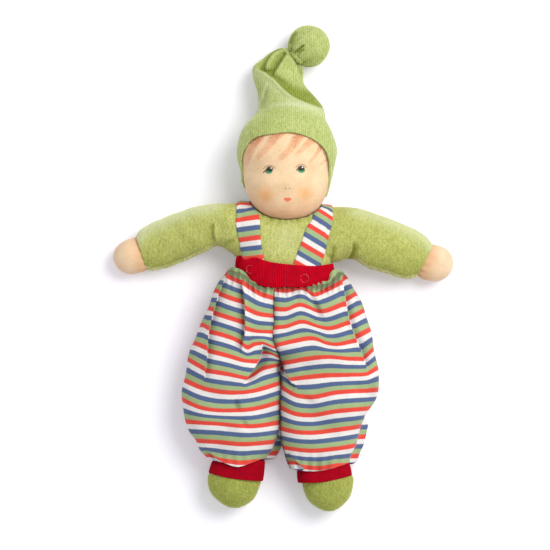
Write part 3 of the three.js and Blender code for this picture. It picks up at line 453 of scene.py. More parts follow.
def paint_face(grid):
    """The tricot's colours: painted shade at the edges and chin, a painted shadow under the cap's
    edge, the fringe, eyes, nostrils, mouth, cheeks.
    """
    x, y = grid[..., 0], grid[..., 1]
    front = ease(0.05, 0.3, (grid[..., 2] - HEAD_Z) / HEAD_HALF_DEPTH)
    colours = np.broadcast_to(dye(*SKIN_DYE), grid.shape).copy()
    from_middle = np.hypot((x - HEAD_X) / HEAD_HALF_WIDTH, (y - FACE_MIDDLE_Y) / FACE_HALF_HEIGHT)
    edge_shade = ease(0.72, 1.04, from_middle)
    # Painted shade: darker and warmer at the face's edges, and more orange toward the chin.
    colours = laid(colours, 0.42 * edge_shade, SKIN_SHADE)
    colours = laid(colours, 0.5 * (1 - ease(46, 66, y)), SKIN_CHIN_SHADE)
    for (cheek_x, cheek_y), size, strength in CHEEKS:
        blush = bell(np.hypot(x - cheek_x, y - cheek_y), size)
        colours = laid(colours, strength * blush * front, CHEEK_DYE)
    # The pencil catches on the knit, so its strokes are broken into grain.
    grain = np.random.default_rng(4).random(x.shape)
    for _ in range(2):
        grain = (grain + np.roll(grain, 1, 0) + np.roll(grain, 1, 1)) / 3
    grain = ease(-1.6, 1.6, (grain - grain.mean()) / grain.std())
    for line, breadth in FRINGE:
        far, along = beside(x, y, drawn(line))
        width = breadth * (1 - 0.62 * along)
        strand = 1 - ease(0.35, 1.25, np.abs(far) / width)
        lines = np.sin(far * 3.4 + 1.6 * np.sin(along * 6 + breadth))
        hatch = np.clip(0.3 + 0.62 * grain + 0.24 * lines, 0, 1)
        fade = (1 - ease(0.72, 1.0, along)) * (1 - 0.35 * along)
        colours = laid(colours, 0.95 * strand * hatch * fade * front, FRINGE_DYE)
        root = strand * hatch * (1 - ease(0.05, 0.55, along))
        colours = laid(colours, 0.85 * root * front, FRINGE_ROOT_DYE)
    # Painted shadow under the cap's edge, broken like the pencil's strokes.
    far, along = beside(x, y, drawn(CAP_HEM_SHADOW))
    hem_shadow = (1 - ease(0.6, 2.2, np.abs(far))) * (1 - ease(0.85, 1, along)) * (0.45 + grain)
    colours = laid(colours, 0.6 * np.clip(hem_shadow, 0, 1) * front, CAP_HEM_SHADOW_DYE)
    for eye in EYES:
        colours = paint_eye(colours, x, y, eye, front)
    for nostril in NOSTRILS:
        dot = disc(x, y, nostril, 0.62, 0.6, 0.6)
        colours = laid(colours, 0.75 * dot * front, NOSTRIL_DYE)
    mouth_x, mouth_y = MOUTH
    heart = disc(x, y, (mouth_x, mouth_y - 0.2), 3.5, 1.75, 0.18)
    dip = disc(x, y, (mouth_x, mouth_y + 2.1), 0.9, 1.0, 0.5)
    point = disc(x, y, (mouth_x, mouth_y - 1.1), 1.9, 1.3, 0.3)
    heart = np.clip(np.maximum(heart, point) - 0.7 * dip, 0, 1)
    return laid(colours, 0.95 * heart * front, MOUTH_DYE)


def paint_eye(colours, x, y, eye, front):
    """One eye in coloured pencil: a green iris below a dark upper half, a lid line and a lash."""
    iris = disc(x, y, eye["iris"], 3.35, 2.55, 0.14)
    colours = laid(colours, iris * front, (66, 148, 104))
    low = disc(x, y, (eye["iris"][0], eye["iris"][1] - 1.3), 2.2, 1.0, 0.6)
    colours = laid(colours, 0.45 * low * front, (96, 186, 128))
    upper = disc(x, y, eye["pupil"], 3.15, 2.45, 0.2)
    colours = laid(colours, 0.93 * upper * front, (52, 40, 36))
    colours = laid(colours, 0.75 * stroke(x, y, eye["lid"], 0.36) * front, (168, 98, 70))
    colours = laid(colours, 0.85 * stroke(x, y, eye["lash"], 0.62) * front, (112, 52, 44))
    return laid(colours, disc(x, y, eye["spark"], 0.75, 0.62, 0.35) * front, (255, 252, 250))


head_ends = (HEAD_X, CHIN_Y, HEAD_Z), (HEAD_X, CHIN_Y + HEAD_LENGTH, HEAD_Z)
head = cloth_mesh("head", head_grid, tricot, *head_ends)
colour_points(head, "paint", paint_face(head_grid).reshape(-1, 3))
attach(head, "head")
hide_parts("head_skin", "head_core", "neck_thread")

# The neck is narrowest where the thread ties the head off.
NECK_LENGTH = 13
neck_rows = np.linspace(0, 1, 12)[:, None]
neck_angles = full_turn(40)
neck_radius = NECK_RADIUS + 3.2 * np.abs(neck_rows - 0.25) ** 1.5
neck_grid = grid_of(
    HEAD_X + neck_radius * np.cos(neck_angles),
    CHIN_Y + 1.5 - NECK_LENGTH * neck_rows,
    HEAD_Z + neck_radius * np.sin(neck_angles),
)[::-1]
neck = cloth_mesh("neck", neck_grid, tricot, True)
# The neck lies in shade under the chin, so it is painted in the skin's shaded tone.
colour_points(neck, "paint", np.broadcast_to(dye(*SKIN_SHADE), (neck_grid[..., 0].size, 3)))
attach(neck, "head")

# Cap
# One piece of green knit velour, cut to a long point and sewn up the back. It sits over the crown,
# its hem turned in, and its empty tail has twisted over on itself on the way to its tie.
CAP_BODY = (182, 193, 102)
CAP_PALE = (212, 219, 160)
CAP_DEEP = (132, 150, 50)
CAP_VELOUR = 2.0
STITCH_DYE = (240, 238, 178)
RIM_TILT, RIM_FORWARD = math.radians(30), 13.6
HEAD_MIDDLE_Y = CHIN_Y + HEAD_LENGTH / 2
NAPE_Y = 66.0
# Left and right edges of the cap, from the nape up to the tie, as it lies.
CAP_LEFT = [(-23.2, 60.2), (-28.4, 66.7), (-35.9, 74.1), (-38.2, 81.6), (-39.7, 90.9),
            (-42.0, 99.2), (-42.9, 107.6), (-41.9, 115.1), (-40.0, 122.5), (-36.3, 129.9),
            (-30.2, 137.4), (-24.6, 143.9), (-23.1, 150.4), (-23.8, 162.5), (-25.8, 170.9),
            (-27.7, 178.3), (-28.6, 184.8), (-25.6, 190.4), (-18.6, 195.5), (-9.1, 201.9),
            (-1.4, 204.5), (5.4, 204.0)]
CAP_RIGHT = [(36.3, 60.2), (40.7, 66.7), (43.2, 74.1), (45.1, 81.6), (47.2, 90.9), (48.9, 99.2),
             (50.2, 107.6), (49.3, 115.1), (46.5, 122.5), (43.2, 129.9), (40.0, 137.4),
             (39.1, 143.9), (36.7, 150.4), (27.9, 160.6), (22.3, 167.1), (19.2, 172.7),
             (19.3, 177.4), (19.3, 181.1), (18.9, 184.8), (18.0, 188.5), (16.6, 191.3),
             (14.0, 193.6)]
# Height of the cap's middle over the table and its half depth, along the same rows.
CAP_HEIGHTS = [
    (0, 42, 32), (1, 42, 38.4), (2, 42, 40.8), (3, 42, 42.4), (4, 42, 42.6), (5, 42, 42.6),
    (6, 42, 42.0), (7, 41.6, 40.6), (8, 40.8, 38.6), (9, 39.4, 36.2), (10, 37.4, 33.4),
    (11, 35.2, 30.8), (12, 33.2, 28.4), (13, 28.4, 24.0), (14, 25.4, 21.6), (15, 23.2, 19.8),
    (16, 21.2, 18.2), (17, 20.2, 16.6), (18, 19.2, 14.6), (19, 18.6, 11.4), (20, 18.2, 7.6),
    (21, 18, 4.6),
]


def velour_material(name, body, pale, deep, wale):
    """Knit velour: columns of short pile, tufts that catch light, patches brushed askew, and
    painted shade and painted highlight where its points ask for them.
    """
    material, tree = new_material(name)
    where = cloth_place(tree)
    tufts = mottle(tree, where, 0.95, 3, 0.75)
    pile = mottle(tree, cloth_place(tree, (1, 0.5, 1)), 2.2, 2, 0.6)
    brushed = mottle(tree, where, 11, 2, 0.5)
    columns = wales(tree, where, 0.314 / wale, 2.2, 1.5, 0.8)
    factor = weighed(tree, (tufts, 0.64), (pile, 0.28), (columns, 0.08))
    colour = tinted(tree, factor, deep, pale, 0.37, 0.63)
    colour = mixed(tree, "MIX", 0.22, colour, (*dye(*body), 1))
    colour = speckled(tree, colour, brushed, (245, 246, 238), 0.35, 0.65)
    # Painted shade darkens the pile where its points say so: in folds, under the chin, on the feet.
    # A painted highlight makes it paler where the light falls on it. Ends of thread stand out along
    # a seam.
    colour = changed_where(tree, "sunk", colour, "MULTIPLY", 1.0, (196, 202, 150))
    colour = changed_where(tree, "lit", colour, "MIX", 0.75, (224, 229, 192))
    ends = mottle(tree, where, 1.3, 2, 0.7)
    stitch = put(tree, "ShaderNodeMapRange", {0: ends, 1: 0.46, 2: 0.56}).outputs[0]
    stitch = maths(tree, "MULTIPLY", stitch, read_points(tree, "seam"))
    colour = mixed(tree, "MIX", stitch, colour, (*dye(*STITCH_DYE), 1))
    height = weighed(tree, (tufts, 1.0), (pile, 0.8), (columns, 0.25))
    finish_material(colour, height, 0.55, 0.7, Roughness=0.95, Sheen_Weight=1.0,
                    Sheen_Roughness=0.32, Sheen_Tint=(*dye(*pale), 1), Specular_IOR_Level=0.1)
    return material


cap_velour = velour_material("cap velour", CAP_BODY, CAP_PALE, CAP_DEEP, wale=1.9)
LIP_BREADTH = 2.6


def tuck(x, y, line, drop, reach, lip=0.8, edge=1.1, ends=0.16):
    """A fold's height: the cloth stands a little up on the line's left and tucks under on its
    right, by drop at the fold, easing back over reach; both may change along the line."""
    far, along = beside(x, y, drawn(line))
    drop = np.interp(along, [0, 1], np.broadcast_to(drop, 2))
    reach = np.interp(along, [0, 1], np.broadcast_to(reach, 2))
    under = np.maximum(-far, 0)
    low = drop * ease(0, edge, under) * bell(under, reach)
    high = lip * bell(np.maximum(far, 0), LIP_BREADTH) * (far >= 0)
    return faded_ends(along, ends) * (high - low)


def groove(x, y, line, depth, half_width, ends=0.3):
    """A soft line pressed into the cloth."""
    far, along = beside(x, y, drawn(line))
    return -depth * faded_ends(along, ends) * bell(far, half_width)


cap_angles = np.concatenate(
    [np.radians(np.linspace(-4, 184, 280)), np.radians(np.linspace(184, 356, 82)[1:-1])]
)


def cap_points(at, angles):
    """The cap's points at places along its rows, numbered as its edges' corners."""
    left, right = path_through(CAP_LEFT, at), path_through(CAP_RIGHT, at)
    flat = (left + right) / 2 + (right - left) / 2 * np.cos(angles)[..., None]
    height = curve_through(CAP_HEIGHTS, at, 1) + curve_through(CAP_HEIGHTS, at, 2) * np.sin(angles)
    return np.concatenate([flat, height[..., None]], -1)


def hem_place(angles):
    """How far up the cap's rows its hem lies at each angle round it: the hem follows a plane that
    leans back from the forehead to the nape."""
    trial = np.linspace(0, 12, 600)[:, None]
    points = cap_points(np.broadcast_to(trial, (600, len(angles))), angles[None, :])
    height = (points[..., 2] - HEAD_Z) * math.cos(RIM_TILT)
    height -= (points[..., 1] - HEAD_MIDDLE_Y) * math.sin(RIM_TILT)
    forward = RIM_FORWARD - 6 * ease(-6, -34, points[..., 0])
    covered = (height < forward) & (points[..., 1] > NAPE_Y)
    first = np.argmax(covered, axis=0)
    return trial[first, 0]


cap_hem = hem_place(cap_angles)
softly = np.hanning(15) / np.hanning(15).sum()
cap_hem = np.convolve(np.pad(cap_hem, 7, mode="wrap"), softly, "valid")
share = np.linspace(0, 1, 262)[:, None]
cap_at = cap_hem[None, :] + (len(CAP_LEFT) - 1 - cap_hem[None, :]) * share
cap_grid = cap_points(cap_at, np.broadcast_to(cap_angles, cap_at.shape))

# Folds of the tail, each drawn as the line of its edge, with the standing cloth on its left.
BIG_FOLD = [(39.1, 147.1), (30.7, 149.0), (18.6, 152.7), (7.4, 158.3), (-1.9, 166.2),
            (-9.8, 174.6), (-17.2, 180.6), (-25.1, 184.3)]
FLAP_LEFT_EDGE = [(5.2, 200.6), (-0.9, 191.8), (-6.5, 182.5), (-10.2, 174.1)]
FLAP_RIGHT_EDGE = [(18.4, 170.4), (15.4, 180.2), (11.9, 189.0), (7.1, 198.8)]
ROLL_EDGE = [(1.5, 202.9), (-5.1, 201.1), (-11.8, 195.5), (-15.6, 188.1), (-16.2, 180.2)]
SIDE_CREASE = [(-14.0, 169.0), (-16.7, 161.6), (-20.1, 151.3), (-21.1, 144.8)]
CROWN_LINE = [(-23.2, 141.6), (-17.7, 146.2), (-9.3, 149.8), (1.9, 151.3), (14.9, 151.0),
              (27.0, 147.8), (37.2, 142.5)]
cap_x, cap_y = cap_grid[..., 0], cap_grid[..., 1]
cap_front = ease(0.02, 0.4, np.sin(cap_angles))[None, :]
fold_height = tuck(cap_x, cap_y, BIG_FOLD, (17, 7), (16, 2.5), lip=2.2, edge=2.6, ends=0.08)
fold_height += tuck(cap_x, cap_y, ROLL_EDGE, 8.0, 5.0, lip=1.2, edge=1.6, ends=0.14)
fold_height += tuck(cap_x, cap_y, FLAP_LEFT_EDGE, 8.0, 6.5, lip=1.8, edge=1.4)
fold_height += tuck(cap_x, cap_y, FLAP_RIGHT_EDGE, 4.0, 4.5, lip=0.8, edge=1.8)
fold_height += groove(cap_x, cap_y, SIDE_CREASE, 2.6, 2.4)
fold_height += groove(cap_x, cap_y, CROWN_LINE, 0.9, 3.2, ends=0.15)
fold_height *= cap_front
# No fold goes deeper than the cloth stands over the cap's middle.
cap_middle = curve_through(CAP_HEIGHTS, cap_at[:, :1], 1)
cap_stand = np.maximum(cap_grid[..., 2] - cap_middle, 0.01)
kept = np.maximum(1 + fold_height / cap_stand, 0.3)
cap_grid[..., 2] = np.where(fold_height < 0, cap_middle + cap_stand * kept,
                            cap_grid[..., 2] + fold_height)
# Painted shade in the folds: the deeper the cloth tucks under, the darker it is painted.
DARKEST_DEPTH = 7
cap_fold_shade = np.clip(-fold_height / DARKEST_DEPTH, 0, 1)

# The pile catches light along the crown line, below the side crease, on the standing side of the
# big fold and at the outline.
crown_far, crown_along = beside(cap_x, cap_y, drawn(CROWN_LINE))
side_far, side_along = beside(cap_x, cap_y, drawn(SIDE_CREASE))
fold_far, _ = beside(cap_x, cap_y, drawn(BIG_FOLD))
cap_lit = 0.42 * bell(crown_far, 2.4) * np.sin(np.clip(crown_along, 0, 1) * math.pi) ** 0.5
cap_lit += 0.4 * bell(side_far + 1.6, 1.6) * (side_along < 0.98)
cap_lit += 0.3 * bell(fold_far, 9) * (fold_far > -1)
cap_lit += 0.36 * bell(np.sin(cap_angles), 0.32)[None, :]
cap_lit = np.clip(cap_lit, 0, 0.8) * cap_front**0.5

# The back has a seam, which lies toward the doll's left, and soft sags where it lies.
MIDDLE_COLUMN, SEAM_HEIGHT, SEAM_HALF_WIDTH = 141, 0.9, 1.2
cap_back = ease(0.3, 0.9, -np.sin(cap_angles))[None, :]
seam_x = ((cap_x[:, 0] + cap_x[:, MIDDLE_COLUMN]) / 2)[:, None]
cap_grid[..., 2] += SEAM_HEIGHT * bell(cap_x - seam_x, SEAM_HALF_WIDTH) * cap_back
waves = np.sin(cap_y * 0.16 + 1.2 * np.sin(cap_x * 0.07)) * 0.5
cap_grid += outward(cap_grid) * (waves * ease(100, 130, cap_y) * 0.8)[..., None]

# The hem turns in over a soft edge onto the head: the angles of the turn and how far it goes in.
HEM_TURNS, HEM_DEPTHS = (math.pi, 2.6, 2.0, 1.4, 0.8), (9, 4)
hem_rows = []
hem_normal = outward(cap_grid)[0]
hem_along = unit(cap_grid[0] - cap_grid[3])
for turn in HEM_TURNS:
    roll = CAP_VELOUR / 2 * np.array([math.sin(turn), math.cos(turn) - 1])
    hem_rows.append(cap_grid[0] + hem_along * roll[0] + hem_normal * roll[1])
inside = [hem_rows[0] - hem_along * depth for depth in HEM_DEPTHS]
cap_grid = np.concatenate([np.stack(inside + hem_rows), cap_grid])
cap_grid[..., 2] = np.maximum(cap_grid[..., 2], 0.0)

cap = cloth_mesh("pointed_cap", cap_grid, cap_velour, None, True)
hem_pad = ((len(cap_grid) - len(cap_lit), 0), (0, 0))
share_points(cap, "lit", np.pad(cap_lit, hem_pad, mode="edge"))
share_points(cap, "sunk", np.pad(cap_fold_shade, hem_pad))
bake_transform(cap)
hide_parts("cap")

# Pompom
# The cap's point, stuffed with a ball of wool and tied off with thread, so that its velour
# gathers into the tie. A little roll of cloth stands out where the tie pulls the tail together.
POMPOM_CENTRE = (23.9, 206.6, 18.8)
POMPOM_RADIUS = 19.6
TIE_PLACE = (13.2, 195.6, 18.0)
pompom_axis = unit(np.array(POMPOM_CENTRE) - np.array(TIE_PLACE))


def ball_grid(centre, radius, axis, rows, columns):
    """A ball's points from its low pole up, with its poles on an axis, and its two angles."""
    side, front = sides_of(axis)
    polar = np.linspace(0.06, math.pi - 0.04, rows)[:, None]
    round_it = full_turn(columns)[None, :]
    outward_ring = np.cos(round_it)[..., None] * front + np.sin(round_it)[..., None] * side
    grid = np.asarray(centre) - radius * np.cos(polar)[..., None] * axis
    return grid + radius * np.sin(polar)[..., None] * outward_ring, polar, round_it


pompom_grid, polar, round_it = ball_grid(POMPOM_CENTRE, POMPOM_RADIUS, pompom_axis, 150, 240)
gathers = -2.6 * (0.5 + 0.5 * np.cos(9 * round_it + 0.7)) ** 5 + 0.6 * np.cos(5 * round_it)
gathers = bell(polar, 0.9) * gathers
dent = -2.6 * bell(polar, 0.32)
lumps = 0.35 * np.sin(3 * round_it + 2.2 * polar) * np.sin(2 * polar)
pompom_grid += outward(pompom_grid) * (gathers + dent + lumps)[..., None]
pompom_x, pompom_y = pompom_grid[..., 0], pompom_grid[..., 1]
pompom_top = ease(18, 24, pompom_grid[..., 2])
pompom_creased = np.zeros(pompom_x.shape)
# Creases that run out from the tie: each line, its depth and its half width.
POMPOM_CREASES = (
    ([(9.0, 198.5), (13.5, 202.0), (17.5, 205.3), (21.4, 207.8)], 3.4, 0.9),
    ([(7.5, 203.5), (10.5, 209.5), (15.5, 213.5)], 0.8, 1.1),
    ([(6.5, 205.3), (8.8, 213.6), (14.4, 220.6)], 2.2, 1.6),
    ([(12.1, 197.8), (16.7, 201.6), (21.4, 202.9)], 1.6, 1.1),
)
for line, depth, half_width in POMPOM_CREASES:
    crease = groove(pompom_x, pompom_y, line, depth, half_width, 0.35) * pompom_top
    pompom_grid[..., 2] += crease
    pompom_creased = np.maximum(pompom_creased, np.clip(-crease / 1.6, 0, 1))
pompom_grid[..., 2] = np.maximum(pompom_grid[..., 2], 0.0)
pompom = cloth_mesh("tail_pompom", pompom_grid, cap_velour, True, True)
# Painted shade: darker toward the tie, in the gathers and in the creases.
pompom_shade = 0.05 + 0.35 * bell(polar, 0.8) + 0.7 * np.clip(-gathers / 1.8, 0, 1)
share_points(pompom, "sunk", np.clip(np.maximum(pompom_shade, 1.3 * pompom_creased), 0, 1.3))
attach(pompom, "pompom")
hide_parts("pompom", "pompom_wool")


def tube_grid(path, radii, columns):
    """A tube's points along a path in millimetres."""
    side, up = sides_of(unit(np.gradient(path, axis=0)))
    turn = full_turn(columns)[None, :, None]
    radii = np.broadcast_to(radii, len(path))[:, None, None]
    return path[:, None] + (np.cos(turn) * up[:, None] + np.sin(turn) * side[:, None]) * radii


ROLL_LINE = [(7.0, 200.6), (11.6, 197.2), (15.4, 193.6), (17.6, 190.4)]
ROLL_HEIGHT, ROLL_ARCH = 25.4, 3.0
roll_share = np.linspace(0, 1, 40)
roll_path = np.column_stack(
    [
        path_through(ROLL_LINE, roll_share, np.linspace(0, 1, len(ROLL_LINE))),
        ROLL_HEIGHT + ROLL_ARCH * np.sin(roll_share * math.pi),
    ]
)
roll_radius = 0.6 + 3.5 * np.sin(roll_share * math.pi) ** 0.8 - 0.9 * bell(roll_share - 0.47, 0.07)
tie_roll_grid = tube_grid(roll_path, roll_radius, 40)
tie_roll = cloth_mesh("tie_roll", tie_roll_grid, cap_velour, roll_path[0], roll_path[-1])
# Painted shade: the roll is a little darker all over.
share_points(tie_roll, "sunk", np.full(tie_roll_grid.shape[:2], 0.25))
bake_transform(tie_roll)


def thread_material():
    """Waxed cotton thread: two plies twisted round each other."""
    material, tree = new_material("thread")
    where = cloth_place(tree)
    ply = mottle(tree, where, 0.4, 2)
    colour = tinted(tree, ply, (196, 204, 120), (232, 232, 176), 0.3, 0.7)
    finish_material(colour, ply, 0.1, 0.5, Roughness=0.7, Sheen_Weight=0.2)
    return material


thread = thread_material()
TIE_TURNS, TIE_RADIUS, TIE_BREADTH, THREAD_RADIUS = 2, 4.9, 1.8, 0.55
tie_share = np.linspace(0, 1, 120)[:, None]
tie_turn = tie_share * TIE_TURNS * 2 * math.pi
tie_side, tie_up = sides_of(pompom_axis)
tie_path = (
    np.array(TIE_PLACE)
    + pompom_axis * (tie_share - 0.5) * TIE_BREADTH
    + TIE_RADIUS * (np.cos(tie_turn) * tie_up + np.sin(tie_turn) * tie_side)
)
tie_grid = tube_grid(tie_path, THREAD_RADIUS, 10)
cap_tie = cloth_mesh("cap_tie", tie_grid, thread, tie_path[0], tie_path[-1])
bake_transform(cap_tie)
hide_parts("cap_tie_thread")

# Torso
# A bag of green velour stuffed with wool. The trousers and straps are drawn on over it.
BODY_DYE = (190, 194, 104)
BODY_PALE = (224, 226, 152)
BODY_DEEP = (146, 150, 54)
TORSO_TOP_Y, TORSO_LENGTH = 56.8, 122.0
TORSO_HALF_WIDTH, TORSO_HALF_DEPTH, TORSO_Z = 55.5, 28.0, 32.0
TORSO_PROFILE = [
    (0.004, 0.68, 0.4),
    (0.03, 0.86, 0.66),
    (0.08, 0.94, 0.84),
    (0.15, 0.97, 0.93),
    (0.24, 0.92, 0.98),
    (0.34, 0.82, 0.97),
    (0.45, 0.755, 0.95),
    (0.56, 0.75, 0.95),
    (0.68, 0.78, 0.97),
    (0.8, 0.8, 0.9),
    (0.9, 0.68, 0.72),
    (0.97, 0.43, 0.43),
    (0.996, 0.16, 0.2),
]
body_velour = velour_material("body velour", BODY_DYE, BODY_PALE, BODY_DEEP, wale=1.3)


def bent(cosine, power):
    """A cosine or sine pushed out so that the ring it draws is squarer than an oval."""
    return np.sign(cosine) * np.abs(cosine) ** (2 / power)


torso_rows = np.linspace(0.004, 0.996, 150)[:, None]
torso_angles = full_turn(200)
torso_width = curve_through(TORSO_PROFILE, torso_rows, 1) * TORSO_HALF_WIDTH
torso_depth = curve_through(TORSO_PROFILE, torso_rows, 2) * TORSO_HALF_DEPTH
torso_grid = grid_of(
    1.9 * ease(0.2, 0.4, torso_rows) + torso_width * bent(np.cos(torso_angles), 2.4),
    TORSO_TOP_Y - torso_rows * TORSO_LENGTH,
    TORSO_Z + torso_depth * bent(np.sin(torso_angles), 2.4),
)
torso_lumps = 0.5 * np.sin(torso_grid[..., 0] * 0.15 + 1) * np.sin(torso_grid[..., 1] * 0.19)
torso_grid += outward(torso_grid) * torso_lumps[..., None]

# The velour is gathered in under the chin.
chin_x, chin_y = torso_grid[..., 0] - HEAD_X, torso_grid[..., 1] - HEAD_MIDDLE_Y
GATHERS_START, GATHERS_REACH = 42, 5
from_chin = np.hypot(chin_x, chin_y * 0.93) - GATHERS_START
under_chin = bell(np.maximum(from_chin, 0), GATHERS_REACH) * ease(36, 46, torso_grid[..., 2])
round_chin = np.arctan2(chin_x, -chin_y)
torso_gathers = under_chin * np.sin(round_chin * 44 + 1.5 * np.sin(round_chin * 9)) * 0.8
torso_grid[..., 2] += torso_gathers
torso_grid = below_head(torso_grid)
torso_ends = (0, TORSO_TOP_Y, TORSO_Z), (0, TORSO_TOP_Y - TORSO_LENGTH, TORSO_Z)
torso = cloth_mesh("torso", torso_grid, body_velour, *torso_ends)
# Painted shade under the chin, darkest in the hollows between the gathers.
share_points(torso, "sunk", np.clip(under_chin * (0.75 - 0.6 * torso_gathers), 0, 1))
# A painted highlight makes the chest paler, where the light falls most on it.
CHEST_HIGHLIGHT_X, CHEST_HIGHLIGHT_Y, CHEST_HIGHLIGHT_BREADTH = 4, 27, 13
from_chest = np.hypot(torso_grid[..., 0] - CHEST_HIGHLIGHT_X, torso_grid[..., 1] - CHEST_HIGHLIGHT_Y)
share_points(torso, "lit", 0.22 * bell(from_chest, CHEST_HIGHLIGHT_BREADTH))
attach(torso, "torso")
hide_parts("torso_cover", "torso_wool")

# Arms
# A velour sleeve on each side, sewn to the body, with a ball of tricot set in its open end.
SIDES = (("right", -1), ("left", 1))
# The sleeves' upper and lower edges, from inside the torso to the wrist, and their middle height
# and half depth on the way.
SLEEVES = {
    "right": (
        [(-28.8, 59.6), (-36.3, 59.8), (-44.1, 59.6), (-60.5, 60.0), (-81.8, 56.5),
         (-107.0, 48.5), (-123.7, 40.8), (-132.1, 36.0), (-135.9, 30.4)],
        [(-30.7, 5.3), (-40.0, 8.1), (-50.2, 15.1), (-60.9, 20.2), (-76.3, 12.8), (-97.7, 3.5),
         (-114.6, -1.4), (-122.4, -2.6), (-127.0, -0.8)],
    ),
    "left": (
        [(32.6, 57.4), (39.1, 57.0), (47.4, 56.5), (67.9, 55.5), (92.5, 48.1), (117.2, 38.3),
         (127.4, 33.0), (134.8, 27.6), (139.7, 21.7)],
        [(34.4, -0.3), (40.9, 3.0), (51.2, 5.8), (65.1, 7.6), (80.0, -0.3), (96.7, -5.7),
         (108.2, -8.9), (116.6, -10.4), (122.9, -9.2)],
    ),
}
SLEEVE_HEIGHTS = [(0, 31, 20), (1, 31, 21.5), (2, 31, 22), (3, 30, 20.6), (4, 27, 19.4),
                  (5, 22.6, 18), (6, 19.4, 16.9), (7, 18, 16.2), (8, 17.6, 15.6)]
# A lone fold runs in from each armpit: its line, how deep it tucks and how far it eases back.
ARMPIT_FOLDS = {
    "right": ([(-63.6, 43.5), (-63.8, 36.9), (-63.2, 29.5), (-60.6, 21.6)], 2.6, 5.5),
    "left": ([(52.0, 4.5), (57.5, 7.5), (61.0, 11.5), (63.2, 17.0), (63.9, 25.8)], 4.8, 4.6),
}
# A crease runs from it toward the chest.
SIDE_CREASES = {
    "right": [(-56.7, 18.9), (-50.2, 23.0), (-43.7, 25.8)],
    "left": [(43.2, 4.4), (44.8, 10.0), (46.5, 16.5), (47.1, 22.1)],
}


def rows_between(upper, lower, heights, at, columns, power=2.2):
    """A limb's points between its upper and lower edges, as it lies, at places along them."""
    upper, lower = path_through(upper, at), path_through(lower, at)
    middle, half = (upper + lower) / 2, (upper - lower) / 2
    angles = full_turn(columns)
    flat = middle[:, None, :] + half[:, None, :] * bent(np.cos(angles), power)[None, :, None]
    deep = curve_through(heights, at, 2)[:, None] * bent(np.sin(angles), power)
    return np.concatenate([flat, (curve_through(heights, at, 1)[:, None] + deep)[..., None]], -1)


# The hem is turned in: how each of its rows shrinks toward the middle and lies past the end.
SLEEVE_HEM = ((0.99, 0.7), (0.955, 1.0), (0.91, 0.6), (0.87, -0.6), (0.84, -3.5))
# How strongly each sleeve's upper edge gets a painted highlight, and how much painted shade lies
# over all of it.
SLEEVE_LIT = {"right": 0.8, "left": 0.62}
SLEEVE_SHADE = {"right": 0.16, "left": 0.3}
SEAM_START_X = 58
for side, sign in SIDES:
    upper, lower = SLEEVES[side]
    sleeve_at = np.linspace(0, len(SLEEVE_HEIGHTS) - 1, 210)
    sleeve_grid = rows_between(upper, lower, SLEEVE_HEIGHTS, sleeve_at, 168)[:, ::sign]
    x, y = sleeve_grid[..., 0], sleeve_grid[..., 1]
    top = ease(20, 27, sleeve_grid[..., 2])
    line, drop, reach = ARMPIT_FOLDS[side]
    folds = tuck(x, y, line, drop, reach, lip=1.4, edge=1.4, ends=0.3)
    folds += groove(x, y, SIDE_CREASES[side], 2.4, 1.8, 0.3)
    folds *= top
    sleeve_grid[..., 2] += folds
    lumps = 0.45 * np.sin(x * 0.21 + y * 0.08 + sign) * np.sin(y * 0.17 + x * 0.05)
    seam_far, seam_along = beside(x, y, drawn(lower))
    puckers = 0.14 * np.sin(sleeve_at * 9.5)[:, None] * bell(seam_far, 3.0)
    sleeve_grid += outward(sleeve_grid) * (lumps + puckers)[..., None]
    sleeve_grid = below_head(sleeve_grid)
    end_middle = sleeve_grid[-1].mean(axis=0)
    turned_in = [
        end_middle + (sleeve_grid[-1] - end_middle) * share + [sign * shift, 0, 0]
        for share, shift in SLEEVE_HEM
    ]
    sleeve_grid = np.concatenate([sleeve_grid, np.stack(turned_in)])
    sleeve = cloth_mesh("velour_sleeve_" + side, sleeve_grid, body_velour, True)
    # Fuzz along the seam. Painted shade: all over the sleeve, more beside and below the seam, as a
    # thin shadow line just inside it, and in the folds. A painted highlight along the upper edge,
    # where the light falls.
    sewn = ease(0.34, 0.42, seam_along) * (x * sign > SEAM_START_X)
    seam = sewn * bell(np.abs(seam_far) - 1.2, 1.6)
    painted_shade = SLEEVE_SHADE[side] + 0.36 * bell(seam_far, 16) * ease(0.3, 0.6, seam_along)
    painted_shade += 0.22 * sewn * bell(np.abs(seam_far) - 3.8, 0.8)
    sunk = np.clip(painted_shade + np.clip(-folds / 4.5, 0, 0.7), 0, 1.1)
    edge_far, edge_along = beside(x, y, drawn(upper))
    lit = SLEEVE_LIT[side] * bell(edge_far, 8) * ease(0.15, 0.35, edge_along)
    for name, shares in (("seam", seam), ("sunk", sunk), ("lit", lit)):
        share_points(sleeve, name, np.pad(shares, ((0, len(SLEEVE_HEM)), (0, 0)), mode="edge"))
    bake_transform(sleeve)
    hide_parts("sleeve_" + side, "arm_wool_" + side)

# Hands
# Balls of wool in flesh-coloured tricot, drawn together with thread inside the sleeves' ends.
HAND_DYE, HAND_SHADE = (246, 216, 182), (236, 186, 138)
